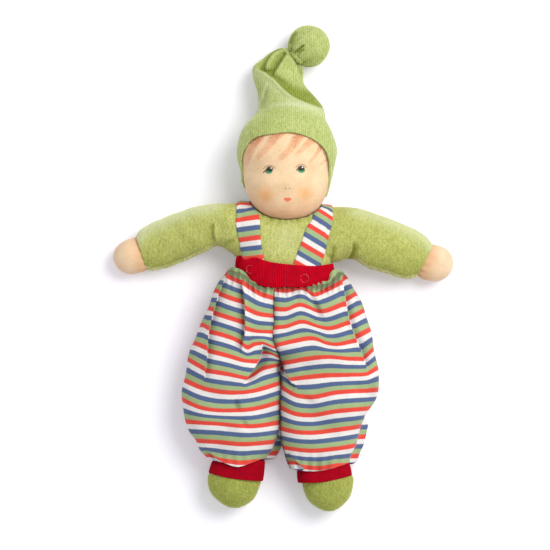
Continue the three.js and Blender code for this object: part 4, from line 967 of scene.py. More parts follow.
# Each hand's middle line from the wrist, its half width, its height and the turn of its pleats.
HANDS = {
    "right": ([(-125.5, 14.0), (-157.7, 7.0)], 16.4, 17.1, 4.5),
    "left": ([(127.8, 8.2), (157.6, -1.2)], 17.0, 17.3, 4.0),
}
HAND_PROFILE = [(0, 0.8, 0.78), (0.1, 0.9, 0.88), (0.25, 0.985, 0.96), (0.4, 1, 1),
                (0.55, 0.985, 0.99), (0.68, 0.92, 0.93), (0.8, 0.79, 0.79), (0.9, 0.6, 0.6),
                (0.96, 0.4, 0.4), (0.99, 0.2, 0.2), (1, 0.04, 0.04)]
for side, _ in SIDES:
    (wrist, tip), half_width, middle_z, twist = HANDS[side]
    wrist, tip = np.array([*wrist, middle_z]), np.array([*tip, middle_z - 1.2])
    along = unit(tip - wrist)
    across = unit(np.cross((0, 0, 1), along))
    hand_at = np.concatenate([np.linspace(0, 0.9, 70), np.linspace(0.9, 1, 26)[1:]])
    turn = full_turn(120)
    width = curve_through(HAND_PROFILE, hand_at, 1)[:, None, None] * half_width
    depth = curve_through(HAND_PROFILE, hand_at, 2)[:, None, None] * (half_width - 0.9)
    hand_grid = (
        wrist
        + hand_at[:, None, None] * (tip - wrist)
        + width * np.cos(turn)[None, :, None] * across
        + depth * np.sin(turn)[None, :, None] * np.array([0, 0, 1.0])
    )
    pleats = 0.5 * np.cos(13 * turn + twist) * bell(hand_at, 0.3)[:, None]
    lumps = 0.35 * np.sin(3 * turn + hand_at[:, None] * 5 + twist)
    hand_grid += outward(hand_grid) * (pleats + lumps * ease(0, 0.4, hand_at)[:, None])[..., None]
    hand_grid[..., 2] = np.maximum(hand_grid[..., 2], 0.0)
    hand = cloth_mesh("hand_" + side, hand_grid, tricot, wrist, tip + along * 0.3)
    # Painted shade: the tricot is darker and warmer toward the wrist, inside the sleeve's end.
    wrist_shade = np.broadcast_to(1 - ease(0.16, 0.62, hand_at)[:, None], hand_grid.shape[:2])
    skin = np.broadcast_to(dye(*HAND_DYE), hand_grid.shape)
    colour_points(hand, "paint", laid(skin, 0.75 * wrist_shade, HAND_SHADE).reshape(-1, 3))
    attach(hand, "arm_" + side)
    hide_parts("hand_skin_" + side, "hand_wool_" + side)

# Legs
# Stuffed velour legs; only the round feet show below the trousers' cuffs.
# Each leg's left and right edges in the view, from the hip to the cuff and round the foot.
LEGS = {
    "right": (
        [(-57.7, -58.9), (-60.9, -97.0), (-63.7, -141.6), (-64.5, -171.4), (-64.7, -183.5),
         (-70.1, -194.6), (-69.2, -204.9), (-64.2, -212.8), (-57.7, -219.1), (-51.2, -222.5)],
        [(-12.1, -58.9), (-13.5, -97.0), (-18.1, -141.6), (-21.0, -171.4), (-21.9, -185.3),
         (-20.8, -197.4), (-22.9, -207.2), (-27.3, -215.3), (-34.4, -221.2), (-40.0, -223.5)],
    ),
    "left": (
        [(6.5, -58.9), (9.8, -97.0), (14.0, -141.6), (16.7, -171.4), (17.7, -188.1),
         (18.0, -199.3), (19.9, -209.5), (24.7, -217.9), (31.6, -223.8), (38.1, -226.2)],
        [(53.0, -58.9), (56.3, -97.0), (57.6, -141.6), (57.0, -169.0), (57.6, -184.4),
         (65.3, -194.6), (65.1, -203.9), (61.4, -214.2), (54.9, -222.2), (47.4, -225.9)],
    ),
}
LEG_HEIGHTS = [(0, 29, 20), (1, 28, 22), (2, 26, 20.5), (3, 24.5, 19), (4, 24, 19.6),
               (5, 23.6, 22.0), (6, 23.6, 20.6), (7, 23.4, 17.2), (8, 23.2, 12.2), (9, 23, 6.4)]
for side, _ in SIDES:
    leg_at = np.linspace(0, len(LEG_HEIGHTS) - 1, 190)
    leg_grid = rows_between(*LEGS[side], LEG_HEIGHTS, leg_at, 150, 2.1)
    x, y = leg_grid[..., 0], leg_grid[..., 1]
    lumps = 0.5 * np.sin(x * 0.2 + 2) * np.sin(y * 0.23)
    leg_grid += outward(leg_grid) * lumps[..., None]
    toe = leg_grid[-1].mean(axis=0) - [0, 0.6, 0]
    leg = cloth_mesh("leg_" + side, leg_grid, body_velour, True, toe)
    # Painted shade: the legs are darker all over, as the light falls off toward the feet.
    share_points(leg, "sunk", np.full(leg_grid.shape[:2], 0.72))
    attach(leg, "leg_" + side)
    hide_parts("leg_cover_" + side, "leg_wool_" + side)

# Trousers
# Fine jersey striped in green, orange-red, off-white and blue, sewn up the middle seam. The
# doll lies in them slackly, so that each leg lies in long folds and the stripes step over them.
STRIPE_GREEN = (170, 191, 137)
STRIPE_RED = (242, 82, 68)
STRIPE_WHITE = (246, 242, 237)
STRIPE_BLUE = (92, 110, 150)
# The length of one green, one red, one white and one blue stripe together.
STRIPE_REPEAT = 18.0885
# The cloth under the band is all of the green stripe before the first red one.
TOP_STRIPE = 0.64
# The middle of each red stripe by its number from the waist, where the folds part the cloth.
RIGHT_LEG_LOW = {
    7: [(-92.3, -104.1), (-75.5, -110.9), (-50.6, -115.3), (-25.7, -113.4), (-3.3, -107.2)],
    8: [(-93.6, -122.1), (-78.1, -129.1), (-44.4, -132.1), (-25.7, -130.3), (-3.9, -124.7)],
    9: [(-90.5, -142.7), (-63.1, -143.9), (-25.7, -146.5), (-4.7, -143.9)],
    10: [(-81.8, -160.8), (-63.2, -161.4), (-38.1, -163.3), (-7.1, -161.4)],
    11: [(-68.1, -175.8), (-54.3, -178.8), (-38.1, -180.7), (-25.7, -179.5)],
}
LEFT_LEG_LOW = {
    7: [(-1.4, -110.9), (11.6, -117.8), (24.2, -119.7), (49.0, -115.3), (87.6, -113.4)],
    8: [(-2.7, -129.5), (11.6, -135.3), (24.2, -136.5), (49.0, -132.8), (81.4, -130.3)],
    9: [(-2.7, -149.0), (11.6, -152.0), (24.2, -152.7), (49.0, -150.2), (72.7, -147.1)],
    10: [(-0.2, -167.0), (24.2, -169.5), (49.0, -167.7), (67.1, -165.1)],
    11: [(5.6, -182.5), (24.2, -185.2), (34.0, -185.7), (49.0, -183.2)],
}
RIGHT_LEG_OUTER = {
    2: [(-61.8, -21.2), (-56.7, -23.1)],
    3: [(-68.1, -37.4), (-64.2, -38.8)],
    4: [(-73.7, -52.9), (-69.9, -55.4)],
    5: [(-81.7, -69.7), (-70.6, -74.1)],
    6: [(-88.0, -84.7), (-71.8, -94.0)],
    **RIGHT_LEG_LOW,
}
RIGHT_LEG_MIDDLE = {
    1: [(-53.1, -6.9), (-45.6, -10.6), (-38.1, -13.7)],
    2: [(-59.3, -23.7), (-48.2, -28.1), (-35.7, -31.8)],
    3: [(-64.4, -41.7), (-50.6, -46.1), (-35.7, -50.5)],
    4: [(-68.6, -59.1), (-53.1, -62.9), (-40.0, -68.6), (-33.2, -74.1), (-25.7, -70.4),
        (-19.5, -69.1)],
    5: [(-69.9, -76.5), (-50.6, -81.5), (-36.9, -85.4), (-23.2, -86.6)],
    6: [(-70.6, -95.3), (-50.6, -98.4), (-34.4, -102.1), (-19.5, -104.4)],
    **RIGHT_LEG_LOW,
}
RIGHT_LEG_INNER = {
    1: [(-37.6, -13.1), (-30.7, -18.0), (-20.7, -24.3), (-8.9, -28.1)],
    2: [(-34.4, -37.4), (-25.7, -41.7), (-8.9, -44.8)],
    3: [(-34.4, -56.1), (-25.7, -58.6), (-9.5, -59.4)],
    4: [(-35.7, -74.1), (-33.2, -74.1), (-25.7, -70.4), (-19.5, -69.7), (-8.3, -74.1)],
    5: [(-30.7, -85.8), (-19.5, -78.4), (-12.1, -78.8), (-3.7, -83.0)],
    6: [(-34.4, -102.6), (-25.7, -97.7), (-20.7, -94.0), (-10.8, -90.9), (-2.8, -89.5)],
    **RIGHT_LEG_LOW,
}
LEFT_LEG_INNER = {
    1: [(-7.6, -20.0), (1.7, -21.2), (22.8, -21.2), (25.4, -23.7), (40.3, -20.3), (53.9, -13.3)],
    2: [(-8.3, -38.0), (1.7, -38.6), (16.6, -34.3), (24.1, -36.7), (31.6, -39.9), (56.5, -33.6)],
    3: [(-8.9, -55.4), (3.0, -54.2), (17.9, -49.8), (31.6, -54.2), (40.3, -56.1), (61.4, -50.5)],
    4: [(-7.1, -71.6), (11.6, -67.2), (30.3, -65.4), (40.3, -69.7), (46.5, -70.9), (67.7, -67.2)],
    5: [(-4.7, -89.2), (0.5, -88.4), (24.1, -84.1), (42.8, -82.2), (61.4, -84.1), (73.9, -84.7)],
    6: [(0.9, -104.0), (7.3, -103.4), (19.2, -101.5), (36.5, -99.7), (61.4, -99.0), (79.0, -97.8),
        (86.4, -95.3)],
    **LEFT_LEG_LOW,
}
LEFT_LEG_OUTER = {
    1: [(53.4, -12.4), (58.3, -8.1)],
    2: [(57.7, -29.9), (67.7, -23.7)],
    3: [(60.3, -47.3), (75.1, -39.2)],
    4: [(67.7, -63.5), (81.4, -56.7)],
    5: [(73.9, -84.7), (85.1, -74.1)],
    6: [(79.0, -97.8), (87.6, -92.8)],
    **LEFT_LEG_LOW,
}
# The long folds that part the stripes.
OUTER_FOLD_RIGHT = [(-51.2, -4.0), (-59.1, -22.6), (-64.6, -41.2), (-68.8, -59.8), (-70.7, -86.8),
                    (-73.9, -108.1)]
INNER_FOLD_RIGHT = [(-38.6, -5.8), (-37.6, -16.1), (-35.7, -30.0), (-35.2, -42.1), (-35.5, -59.8),
                    (-37.9, -73.7), (-40.0, -82.1)]
CROTCH_FLAP = [(-19.5, -68.6), (-19.3, -76.5), (-21.4, -84.9), (-28.4, -96.1), (-36.7, -106.3)]
CROTCH_RIDGE = [(-23.2, -71.4), (-17.7, -69.8), (-11.6, -72.4), (-5.6, -77.0), (-0.9, -85.8)]
CROTCH_HOLE = [(-2.2, -85.8), (-2.4, -91.4), (-2.6, -100.7)]
THIGH_FLAP = [(0.0, -91.4), (1.7, -96.1), (4.3, -101.6), (7.9, -106.8), (13.0, -109.4)]
# The cloth that shows beside the thigh flap reaches down to here.
UNDER_FLAP_LOW = -115
OUTER_FOLD_LEFT = [(54.4, -8.6), (56.0, -17.9), (58.4, -32.8), (61.0, -46.8), (64.7, -58.9),
                   (71.2, -74.7), (75.8, -87.7), (79.0, -98.8)]
HEM_FOLDS = {
    "right": [(-72.5, -165.8), (-69.8, -169.1), (-66.0, -173.0), (-58.6, -179.1), (-51.2, -182.8)],
    "left": [(5.5, -170.0), (7.4, -174.7), (12.7, -179.8), (17.9, -185.0), (21.4, -188.6)],
}
# Where the cloth tucks under along a fold: its line, how deep, how far it eases back, how high and
# how sharp its lip is, and over which share of the line it fades.
TUCKS = {
    "right": (
        (OUTER_FOLD_RIGHT[::-1], 2.6, 5.0, 1.2, 1.2),
        (INNER_FOLD_RIGHT, 4.2, 6.5, 1.4, 1.2),
        (CROTCH_FLAP[::-1], 4.5, 7.0, 1.2, 1.2),
        (HEM_FOLDS["right"], 2.2, 4.5, 0.8, 1.1, 0.25),
    ),
    "left": (
        (OUTER_FOLD_LEFT[::-1], 3.4, 6.0, 1.6, 1.3),
        (THIGH_FLAP, 3.0, 4.5, 1.0, 1.1),
        (HEM_FOLDS["left"], 2.2, 4.5, 0.8, 1.1, 0.25),
    ),
}
# Pleats under the band and creases at the knees: the line, its depth and its half width.
PLEATS = (
    ([(0.0, -16.1), (0.9, -21.7), (3.3, -29.6)], 2.2, 1.5),
    ([(23.6, -17.0), (26.0, -25.4), (30.1, -33.7), (35.3, -45.8), (37.8, -54.2)], 2.6, 2.2),
    ([(9.3, -16.1), (11.2, -24.4), (14.3, -32.8)], 1.3, 2.0),
    ([(39.1, -14.7), (40.9, -22.6), (43.7, -30.0)], 1.3, 1.8),
    ([(48.8, -12.3), (50.7, -18.9), (52.1, -26.3)], 1.5, 1.5),
    ([(-28.8, -14.2), (-27.3, -21.7), (-26.6, -31.9)], 1.5, 1.7),
    ([(-19.1, -17.9), (-18.6, -24.4), (-19.2, -33.7)], 1.2, 1.7),
    ([(-45.6, -5.8), (-47.8, -15.1), (-49.8, -26.3)], 1.2, 1.8),
    ([(-43.7, -119.3), (-42.8, -126.7), (-39.1, -135.1)], 2.3, 2.6),
    ([(-39.1, -137.9), (-35.3, -145.3), (-30.7, -149.1)], 1.9, 2.6),
    ([(15.8, -117.4), (24.2, -123.0), (32.6, -125.8)], 1.2, 3.2),
    ([(-56.7, -141.6), (-49.3, -150.9), (-40.0, -155.6)], 0.9, 4.0),
)
# Where the back bags out past the front: from this row down to that one, and how far.
BACK_BAGS = {"right": (-150, -188, 12.5), "left": (-134, -188, 12.0)}
BACK_STRIPE_Y, BACK_STRIPE_NUMBER = -6.5, 0.9
BAG_STRIPE_SHIFT = {"right": -0.1, "left": -0.25}
# Over these rows the panels, which lie wall to wall above them, part into two round legs.
CROTCH_ROWS = (-86, -72)
# How deep the seam between the panels sinks, and over which half width.
SEAM_SINK, SEAM_HALF_BREADTH = 1.8, 2.2
# How deep the band presses the cloth in at its edge, and how far below it that eases off.
BAND_SQUEEZE, SQUEEZE_REACH = 9.5, 4.6
# The trousers' top under the band and their hem: y at shares of the way across, left to right.
TROUSER_TOPS = {"right": [(0, -4), (0.06, -1), (0.16, -1.6), (0.43, -6.6), (0.59, -13),
                          (0.92, -15.4), (1, -15.4)],
                "left": [(0, -15.2), (0.4, -15.4), (0.62, -14.2), (0.79, -10.2), (0.84, -4.6),
                         (0.92, -3.2), (0.97, -4.6), (1, -8)]}
TROUSER_HEMS = {"right": [(0, -178), (0.2, -180), (0.5, -184.4), (0.78, -181), (1, -176.8)],
                "left": [(0, -186.2), (0.15, -187.8), (0.4, -188.6), (0.72, -186), (1, -181.4)]}
CUFF_MIDDLE_X = {"right": -41.3, "left": 37.4}
CUFF_MIDDLE_Z, CUFF_INSIDE, CUFF_OVERLAP = 23.0, (21.0, 19.0), 2.5
# Height of the trousers' front over the table, from the hem up to the waist.
TROUSER_FRONT = [(-189.98, 46.5), (-178.82, 49), (-164.87, 53.5), (-141.62, 58.5),
                 (-113.72, 62), (-85.82, 64.5), (-57.92, 66), (-30.02, 67), (-16.07, 66),
                 (-0.26, 63), (9.04, 60)]
# Each leg's left and right edges in the view, from under the band to the cuff.
TROUSER_OUTLINES = {
    "right": (
        [(-49.8, 5.3), (-51.5, -2.1), (-60.0, -13.3), (-69.8, -37.5), (-76.3, -52.3),
         (-85.6, -74.7), (-91.1, -99.8), (-94.1, -121.2), (-93.0, -132.1), (-89.8, -144.6),
         (-86.8, -153.3), (-81.7, -160.8), (-77.2, -169.5), (-71.4, -175.4), (-67.0, -180.6),
         (-66.4, -188.1)],
        [(-8.0, 5.3), (-8.2, -4.0), (-8.4, -17.9), (-8.7, -44.0), (-7.8, -70.9), (-2.8, -84.0),
         (-1.9, -103.5), (-2.3, -130.9), (-3.2, -147.2), (-5.6, -158.0), (-8.0, -163.6),
         (-11.2, -169.5), (-15.4, -174.9), (-18.3, -179.0), (-19.0, -188.1)],
    ),
    "left": (
        [(-8.0, 5.3), (-8.2, -4.0), (-8.4, -17.9), (-8.7, -44.0), (-7.8, -70.9), (-3.5, -82.1),
         (-2.8, -99.8), (-3.3, -124.7), (-2.9, -150.9), (-0.7, -168.5), (3.4, -179.8),
         (6.5, -187.0), (7.5, -195.6)],
        [(55.8, 5.3), (58.1, -4.9), (63.2, -15.1), (72.5, -31.0), (80.0, -53.3), (85.9, -82.1),
         (88.3, -116.0), (86.4, -121.0), (76.4, -138.4), (71.0, -149.6), (68.5, -160.2),
         (67.3, -166.4), (64.2, -172.6), (61.6, -178.5), (61.0, -188.1)],
    ),
}


def stripe_number(x, y, lines):
    """The stripe's number at points, with red stripes in the middle of whole numbers."""
    numbers = sorted(lines)
    heights = [curve_through(sorted(lines[number]), x) for number in numbers]
    count = numbers[0] + (heights[0] - y) / STRIPE_REPEAT
    for lower_number, high, low in zip(numbers, heights[:-1], heights[1:]):
        inside = (y <= high) & (y > low)
        count = np.where(inside, lower_number + (high - y) / np.maximum(high - low, 1), count)
    past = y <= heights[-1]
    return np.where(past, numbers[-1] + (heights[-1] - y) / STRIPE_REPEAT, count)


def edge_at(outline, y):
    """The x of an outline that runs down the trousers, by y."""
    return curve_through(np.asarray(outline, float)[::-1, ::-1], y)


def side_of(x, y, line):
    """Whether points lie right of a line that runs down the trousers."""
    line = np.asarray(line, float)[::-1]
    return x > np.interp(y, line[:, 1], line[:, 0])


def jersey_material():
    """Striped single jersey: fine columns of loops, four dyed stripes with soft knit edges."""
    material, tree = new_material("striped jersey")
    where = cloth_place(tree)
    number = read_points(tree, "stripe")
    wobble = maths(tree, "SUBTRACT", mottle(tree, where, 1.6, 2), 0.5)
    wobble = maths(tree, "MULTIPLY", wobble, 0.035)
    place = maths(tree, "ADD", maths(tree, "ADD", number, wobble), 0.375)
    ramp = put(tree, "ShaderNodeValToRGB", {"Fac": maths(tree, "FRACT", place)})
    bands = ramp.color_ramp
    bands.interpolation = "LINEAR"
    stops = []
    for step, tint in enumerate((STRIPE_GREEN, STRIPE_RED, STRIPE_WHITE, STRIPE_BLUE)):
        stops += [(step / 4 + 0.018, tint), (step / 4 + 0.232, tint)]
    while len(bands.elements) < len(stops):
        bands.elements.new(0.5)
    for element, (at, tint) in zip(bands.elements, stops):
        element.position = at
        element.color = (*dye(*tint), 1)
    loops = wales(tree, where, 0.42, 1.6, 1.0, 1.5)
    speck = mottle(tree, cloth_place(tree, (1, 0.5, 1)), 0.45, 3, 0.65)
    tone = weighed(tree, (loops, 0.4), (speck, 0.6))
    colour = speckled(tree, ramp.outputs["Color"], tone, (226, 226, 226), 0.2, 0.75)
    colour = speckled(tree, colour, mottle(tree, where, 9, 2), (244, 244, 245), 0.3, 0.7)
    # Hardly any light gets out of the narrow pits between the folds and the legs.
    colour = changed_where(tree, "sunk", colour, "MULTIPLY", 1.0, (188, 186, 192))
    colour = changed_where(tree, "pit", colour, "MULTIPLY", 1.0, (84, 66, 74))
    finish_material(colour, tone, 0.25, 0.5, Roughness=0.9, Sheen_Weight=0.08,
                    Sheen_Roughness=0.5, Specular_IOR_Level=0.12)
    return material


jersey = jersey_material()
TROUSER_ROWS, TROUSER_FRONT_COLUMNS, TROUSER_BACK_COLUMNS = 288, 240, 84


def trouser_grid(side, sign):
    """One trouser leg's points before it is folded, and how far each faces up."""
    left_edge, right_edge = TROUSER_OUTLINES[side]
    share = np.linspace(0, 1, TROUSER_ROWS)[:, None]
    front = np.linspace(0, math.pi, TROUSER_FRONT_COLUMNS)
    back = np.linspace(math.pi, 2 * math.pi, TROUSER_BACK_COLUMNS + 2)[1:-1]
    angles = np.concatenate([front, back])[None, :]
    sine, cosine = np.sin(angles), bent(np.cos(angles), 2.5)
    # Rows lie level at the seam and lean with the waistband and the hem.
    across = np.clip((cosine + 1) / 2, 0, 1)
    y = (1 - share) * curve_through(TROUSER_TOPS[side], across)
    y = y + share * curve_through(TROUSER_HEMS[side], across)
    x_left, x_right = edge_at(left_edge, y), edge_at(right_edge, y)
    x = (x_left + x_right) / 2 + (x_right - x_left) / 2 * cosine
    # The legs are round, but above the crotch the panels meet in a flat wall.
    joined = ease(*CROTCH_ROWS, y)
    toward_seam = cosine * sign < 0
    wall = (1 - np.where(toward_seam, np.abs(cosine), 0) ** 14) ** (1 / 14)
    oval = np.abs(bent(sine, 2.5))
    walled = oval * (1 - joined) + wall * joined * (0.97 + 0.03 * oval)
    profile = np.sign(sine) * np.where(toward_seam, walled, oval)
    z = curve_through(TROUSER_FRONT, y) / 2 * (1 + profile)
    high, low, wide = BACK_BAGS[side]
    bag = ease(low, low + 9, y) * (1 - ease(high - 14, high, y))
    bag = bag * bell(sine + 0.55, 0.3) * (cosine > 0) * ease(0, 0.5, np.abs(cosine))
    return grid_of(x + wide * bag, y, z), np.broadcast_to(ease(0.1, 0.5, sine), x.shape)


def stripes_on(side, x, y, z):
    """The number of the stripe at points of a trouser leg: the folds part the cloth, so each side
    of a fold has lines of its own, and the back has level stripes."""
    if side == "right":
        past_flap = side_of(x, y, CROTCH_FLAP) | (y > CROTCH_FLAP[0][1])
        number = np.where(
            side_of(x, y, OUTER_FOLD_RIGHT),
            stripe_number(x, y, RIGHT_LEG_MIDDLE),
            stripe_number(x, y, RIGHT_LEG_OUTER),
        )
        within = side_of(x, y, INNER_FOLD_RIGHT) & past_flap
        number = np.where(within, stripe_number(x, y, RIGHT_LEG_INNER), number)
    else:
        number = np.where(
            side_of(x, y, OUTER_FOLD_LEFT),
            stripe_number(x, y, LEFT_LEG_OUTER),
            stripe_number(x, y, LEFT_LEG_INNER),
        )
        under_flap = ~side_of(x, y, THIGH_FLAP) & (y < THIGH_FLAP[0][1]) & (y > UNDER_FLAP_LOW)
        number = np.where(under_flap, stripe_number(x, y, LEFT_LEG_LOW), number)
    fold_far, fold_along = beside(x, y, drawn(HEM_FOLDS[side]))
    folded = (fold_far < 0) & (fold_along > 0.02) & (fold_along < 0.9)
    folded &= x < HEM_FOLDS[side][-1][0]
    number = number + 0.3 * fold_along * folded
    high, low, _ = BACK_BAGS[side]
    bagged = ease(low, low + 9, y) * (1 - ease(high - 10, high - 4, y))
    level = (BACK_STRIPE_Y - y) / STRIPE_REPEAT + BACK_STRIPE_NUMBER
    level += BAG_STRIPE_SHIFT[side] * bagged
    # The bag's cloth turns under higher up than the rest.
    turned_under = 0.3 + 0.17 * bagged * (x > x.mean(axis=1)[:, None])
    behind = z < curve_through(TROUSER_FRONT, y) * turned_under
    return np.maximum(np.where(behind, level, number), TOP_STRIPE)


# Rows past the leg's own: those that close the gathered top in against the body under the band,
# and those that turn the hem in; how each shrinks toward the middle and how far up it lies.
CLOSED_IN = ((0.8, -1.2), (0.86, 0.6), (0.92, 1.5), (0.965, 1.3))
TURNED_IN = ((0.985, -0.3), (0.95, 0.4), (0.9, 1.6))
ON_CUFF_ROWS = 2


def shrunk(row, measures):
    """Rows like this one, each shrunk toward its middle and moved up."""
    middle = row.mean(axis=0)
    return [middle + (row - middle) * [share, 1, share] + [0, lift, 0] for share, lift in measures]


for side, sign in SIDES:
    grid, facing = trouser_grid(side, sign)
    x, y = grid[..., 0], grid[..., 1]
    rise = np.zeros(x.shape)
    for line, *measures in TUCKS[side]:
        rise += tuck(x, y, line, *measures)
    rise += groove(x, y, CROTCH_RIDGE, -3.0, 3.6, 0.25)
    rise += groove(x, y, CROTCH_HOLE, 11, 2.4, 0.35)
    for line, depth, breadth in PLEATS:
        rise += groove(x, y, line, depth, breadth, 0.45)
    # The seam sinks between the two panels and the knit rolls softly over the legs.
    seam_far = np.abs(x - edge_at(TROUSER_OUTLINES["left"][0], y))
    rise -= SEAM_SINK * bell(seam_far, SEAM_HALF_BREADTH) * ease(-84, -70, y)
    rise += 0.6 * np.sin(x * 0.11 + 0.9 * np.sin(y * 0.05) + sign) * ease(-20, -40, y)
    rise += 0.7 * np.sin(y * 0.13 + x * 0.06 + 2 * sign) * ease(-60, -100, y)
    # Gathers at the waist, where the cloth comes out from under the band, and at the cuff.
    across = (x - x.min(axis=1)[:, None]) / np.ptp(x, axis=1)[:, None]
    below_band = curve_through(TROUSER_TOPS[side], across) - y
    rise -= BAND_SQUEEZE * np.exp(-((np.maximum(below_band, 0) / SQUEEZE_REACH) ** 1.5))
    ripples = 1.3 * np.sin(x * 1.2 + 1.3 * np.sin(x * 0.19)) + 0.7 * np.sin(x * 0.47 + 1)
    rise += bell(below_band - 3, 7) * ripples
    rise += 0.8 * ease(-165, -186, y) * np.sin(x * 0.7 + 0.6 * sign)
    grid[..., 2] += rise * facing
    hang = 0.5 * np.sin(y * 0.2 + sign) * ease(-20, -60, y)
    grid += outward(grid) * (hang * (1 - facing))[..., None]
    grid[..., 2] = np.maximum(grid[..., 2], 0.0)
    number = stripes_on(side, *np.moveaxis(grid, -1, 0))
    # The hem closes on the cuff that is sewn into it.
    turned_in = shrunk(grid[-1], TURNED_IN)
    from_middle = grid[-1] - grid[-1].mean(axis=0)
    round_cuff = np.arctan2(from_middle[:, 2], from_middle[:, 0])
    on_cuff = grid_of(
        CUFF_MIDDLE_X[side] + CUFF_INSIDE[0] * np.cos(round_cuff),
        turned_in[-1][:, 1] + CUFF_OVERLAP,
        CUFF_MIDDLE_Z + CUFF_INSIDE[1] * np.sin(round_cuff),
    )
    turned_in += [(turned_in[-1] + on_cuff) / 2, on_cuff]
    # Light is lost in the folds, in the hole at the crotch and in the gap between the legs.
    sunk = np.clip(-(rise + 0.4) / 3.2, 0, 1) * facing * (below_band > 1)
    hole_far, hole_along = beside(x, y, drawn(CROTCH_HOLE))
    hole = bell(hole_far, 2.4) * np.sin(np.clip(hole_along, 0, 1) * math.pi) ** 0.5
    gap = bell(seam_far, 1.7) * ease(-92, -104, y) * (0.55 + 0.35 * ease(-140, -165, y))
    stand = grid[..., 2] / curve_through(TROUSER_FRONT, y)
    pit = np.clip(np.maximum(hole, gap), 0, 1) * ease(0.45, 0.7, stand)
    grid = np.concatenate([shrunk(grid[0], CLOSED_IN), grid, turned_in])
    trouser = cloth_mesh("trouser_" + side, grid, jersey)
    rows_past = ((len(CLOSED_IN), len(TURNED_IN) + ON_CUFF_ROWS), (0, 0))
    number_points(trouser, "stripe", np.pad(number, rows_past, mode="edge"))
    share_points(trouser, "sunk", np.pad(sunk, rows_past, constant_values=((0, 1), (0, 0))))
    share_points(trouser, "pit", np.pad(pit, rows_past))
    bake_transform(trouser)
    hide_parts("trouser_panel_" + side)

# Waistband and cuffs
# Doubled red rib knit: a wide band round the waist and a narrow cuff round each ankle, each
# sewn to the trousers and stretched a little.
RIB_DYE = (212, 4, 34)
RIB_FURROW_SHADE = (150, 4, 26)


def rib_material():
    """Fine rib: bright ridges, painted shade in the furrows between them, a little fuzz."""
    material, tree = new_material("red rib")
    where = cloth_place(tree)
    fuzz = mottle(tree, where, 0.5, 3, 0.7)
    tone = weighed(tree, (read_points(tree, "ridge"), 0.7), (fuzz, 0.3))
    colour = tinted(tree, tone, RIB_FURROW_SHADE, RIB_DYE, 0.15, 0.7)
    colour = speckled(tree, colour, mottle(tree, where, 7, 2), (228, 228, 228), 0.3, 0.7)
    finish_material(colour, fuzz, 0.2, 0.5, Roughness=0.9, Sheen_Weight=0.08,
                    Sheen_Tint=(*dye(230, 40, 70), 1), Specular_IOR_Level=0.05)
    return material


red_rib = rib_material()
# How both edges roll in: how each row shrinks toward the middle and lies past the edge.
BAND_ROLL = ((0.94, 1.2), (0.965, 0.0), (0.985, -0.5))


def rib_band(name, top, bottom, edges, depth, ribs, swell, relief=0.42, bright=1.0):
    """A ribbed ring between a top and a bottom line, which give y at shares of the way across.
    Its depth gives how high its underside lies, its top edge and, if that is another, its bottom
    edge; the less bright its ridges are, the more painted shade darkens them toward the furrows."""
    angles = full_turn(ribs * 6)[None, :]
    share = np.linspace(0, 1, 26)[:, None]
    cosine, sine = bent(np.cos(angles), 2.3), bent(np.sin(angles), 2.3)
    across = (cosine + 1) / 2
    y = (1 - share) * curve_through(top, across) + share * curve_through(bottom, across)
    left = (1 - share) * edges[0][0] + share * edges[1][0]
    right = (1 - share) * edges[0][1] + share * edges[1][1]
    low, high = depth[0], depth[1] + (depth[-1] - depth[1]) * share**2
    x = (left + right) / 2 + (right - left) / 2 * cosine
    grid = grid_of(x, y, (low + high) / 2 + (high - low) / 2 * sine)
    ridge = 0.5 + 0.5 * np.cos(angles * ribs + 0.9 * np.sin(share * 3 + angles * 4))
    puff = swell * np.sin(share * math.pi) ** 0.6
    grid += outward(grid) * (puff + relief * ridge)[..., None]
    above = shrunk(grid[0], [(size, -shift) for size, shift in BAND_ROLL])
    below = shrunk(grid[-1], BAND_ROLL)[::-1]
    band = cloth_mesh(name, np.concatenate([above, grid, below]), red_rib)
    rolled = ((len(above), len(below)), (0, 0))
    number_points(band, "ridge", bright * np.pad(ridge, rolled, mode="edge"))
    return band


waistband = rib_band(
    "rib_waistband",
    [(0, 11.5), (0.16, 9.9), (0.33, 5.2), (0.55, 2.6), (0.88, 1.6), (1, 3.4)],
    [(0, -3.2), (0.1, -8.4), (0.26, -16.6), (0.5, -17.6), (0.72, -17.4), (0.9, -15.4), (1, -11.6)],
    ((-42.4, 46.2), (-43.9, 47.4)),
    (2.6, 61.9),
    ribs=188,
    swell=0.8,
)
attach(waistband, "torso")
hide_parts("waistband")
CUFF_DEPTH, CUFF_RIBS = (1.6, 44.2, 47.2), 92
# Each cuff's top line, its bottom line and the ends of both.
CUFFS = {
    "right": ([(0, -180.2), (0.5, -180.6), (1, -179.6)], [(0, -190.4), (0.37, -194.6), (1, -198)],
              ((-65.6, -17.0), (-69.0, -18.8))),
    "left": ([(0, -187), (0.5, -186), (1, -181.6)], [(0, -199.6), (0.45, -198.4), (1, -192.8)],
             ((13.4, 61.4), (14.0, 64.0))),
}
for side, lines in CUFFS.items():
    # The cuffs' ridges are only 0.3 as bright, so painted shade darkens them more than the band.
    cuff = rib_band("rib_cuff_" + side, *lines, CUFF_DEPTH, CUFF_RIBS, 0.5, 0.22, 0.3)
    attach(cuff, "leg_" + side)
    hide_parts("ankle_cuff_" + side)

# Straps
# Strips of the same jersey, doubled and sewn: from a snap on the waistband, over the shoulder and
# down the back to the waistband.
STRAP_THICKNESS, STRAP_COLUMNS = 1.4, 44
# How far the strap's underside and its edges stand over the cloth that it lies on.
STRAP_UNDER, STRAP_EDGE = 0.5, 0.9
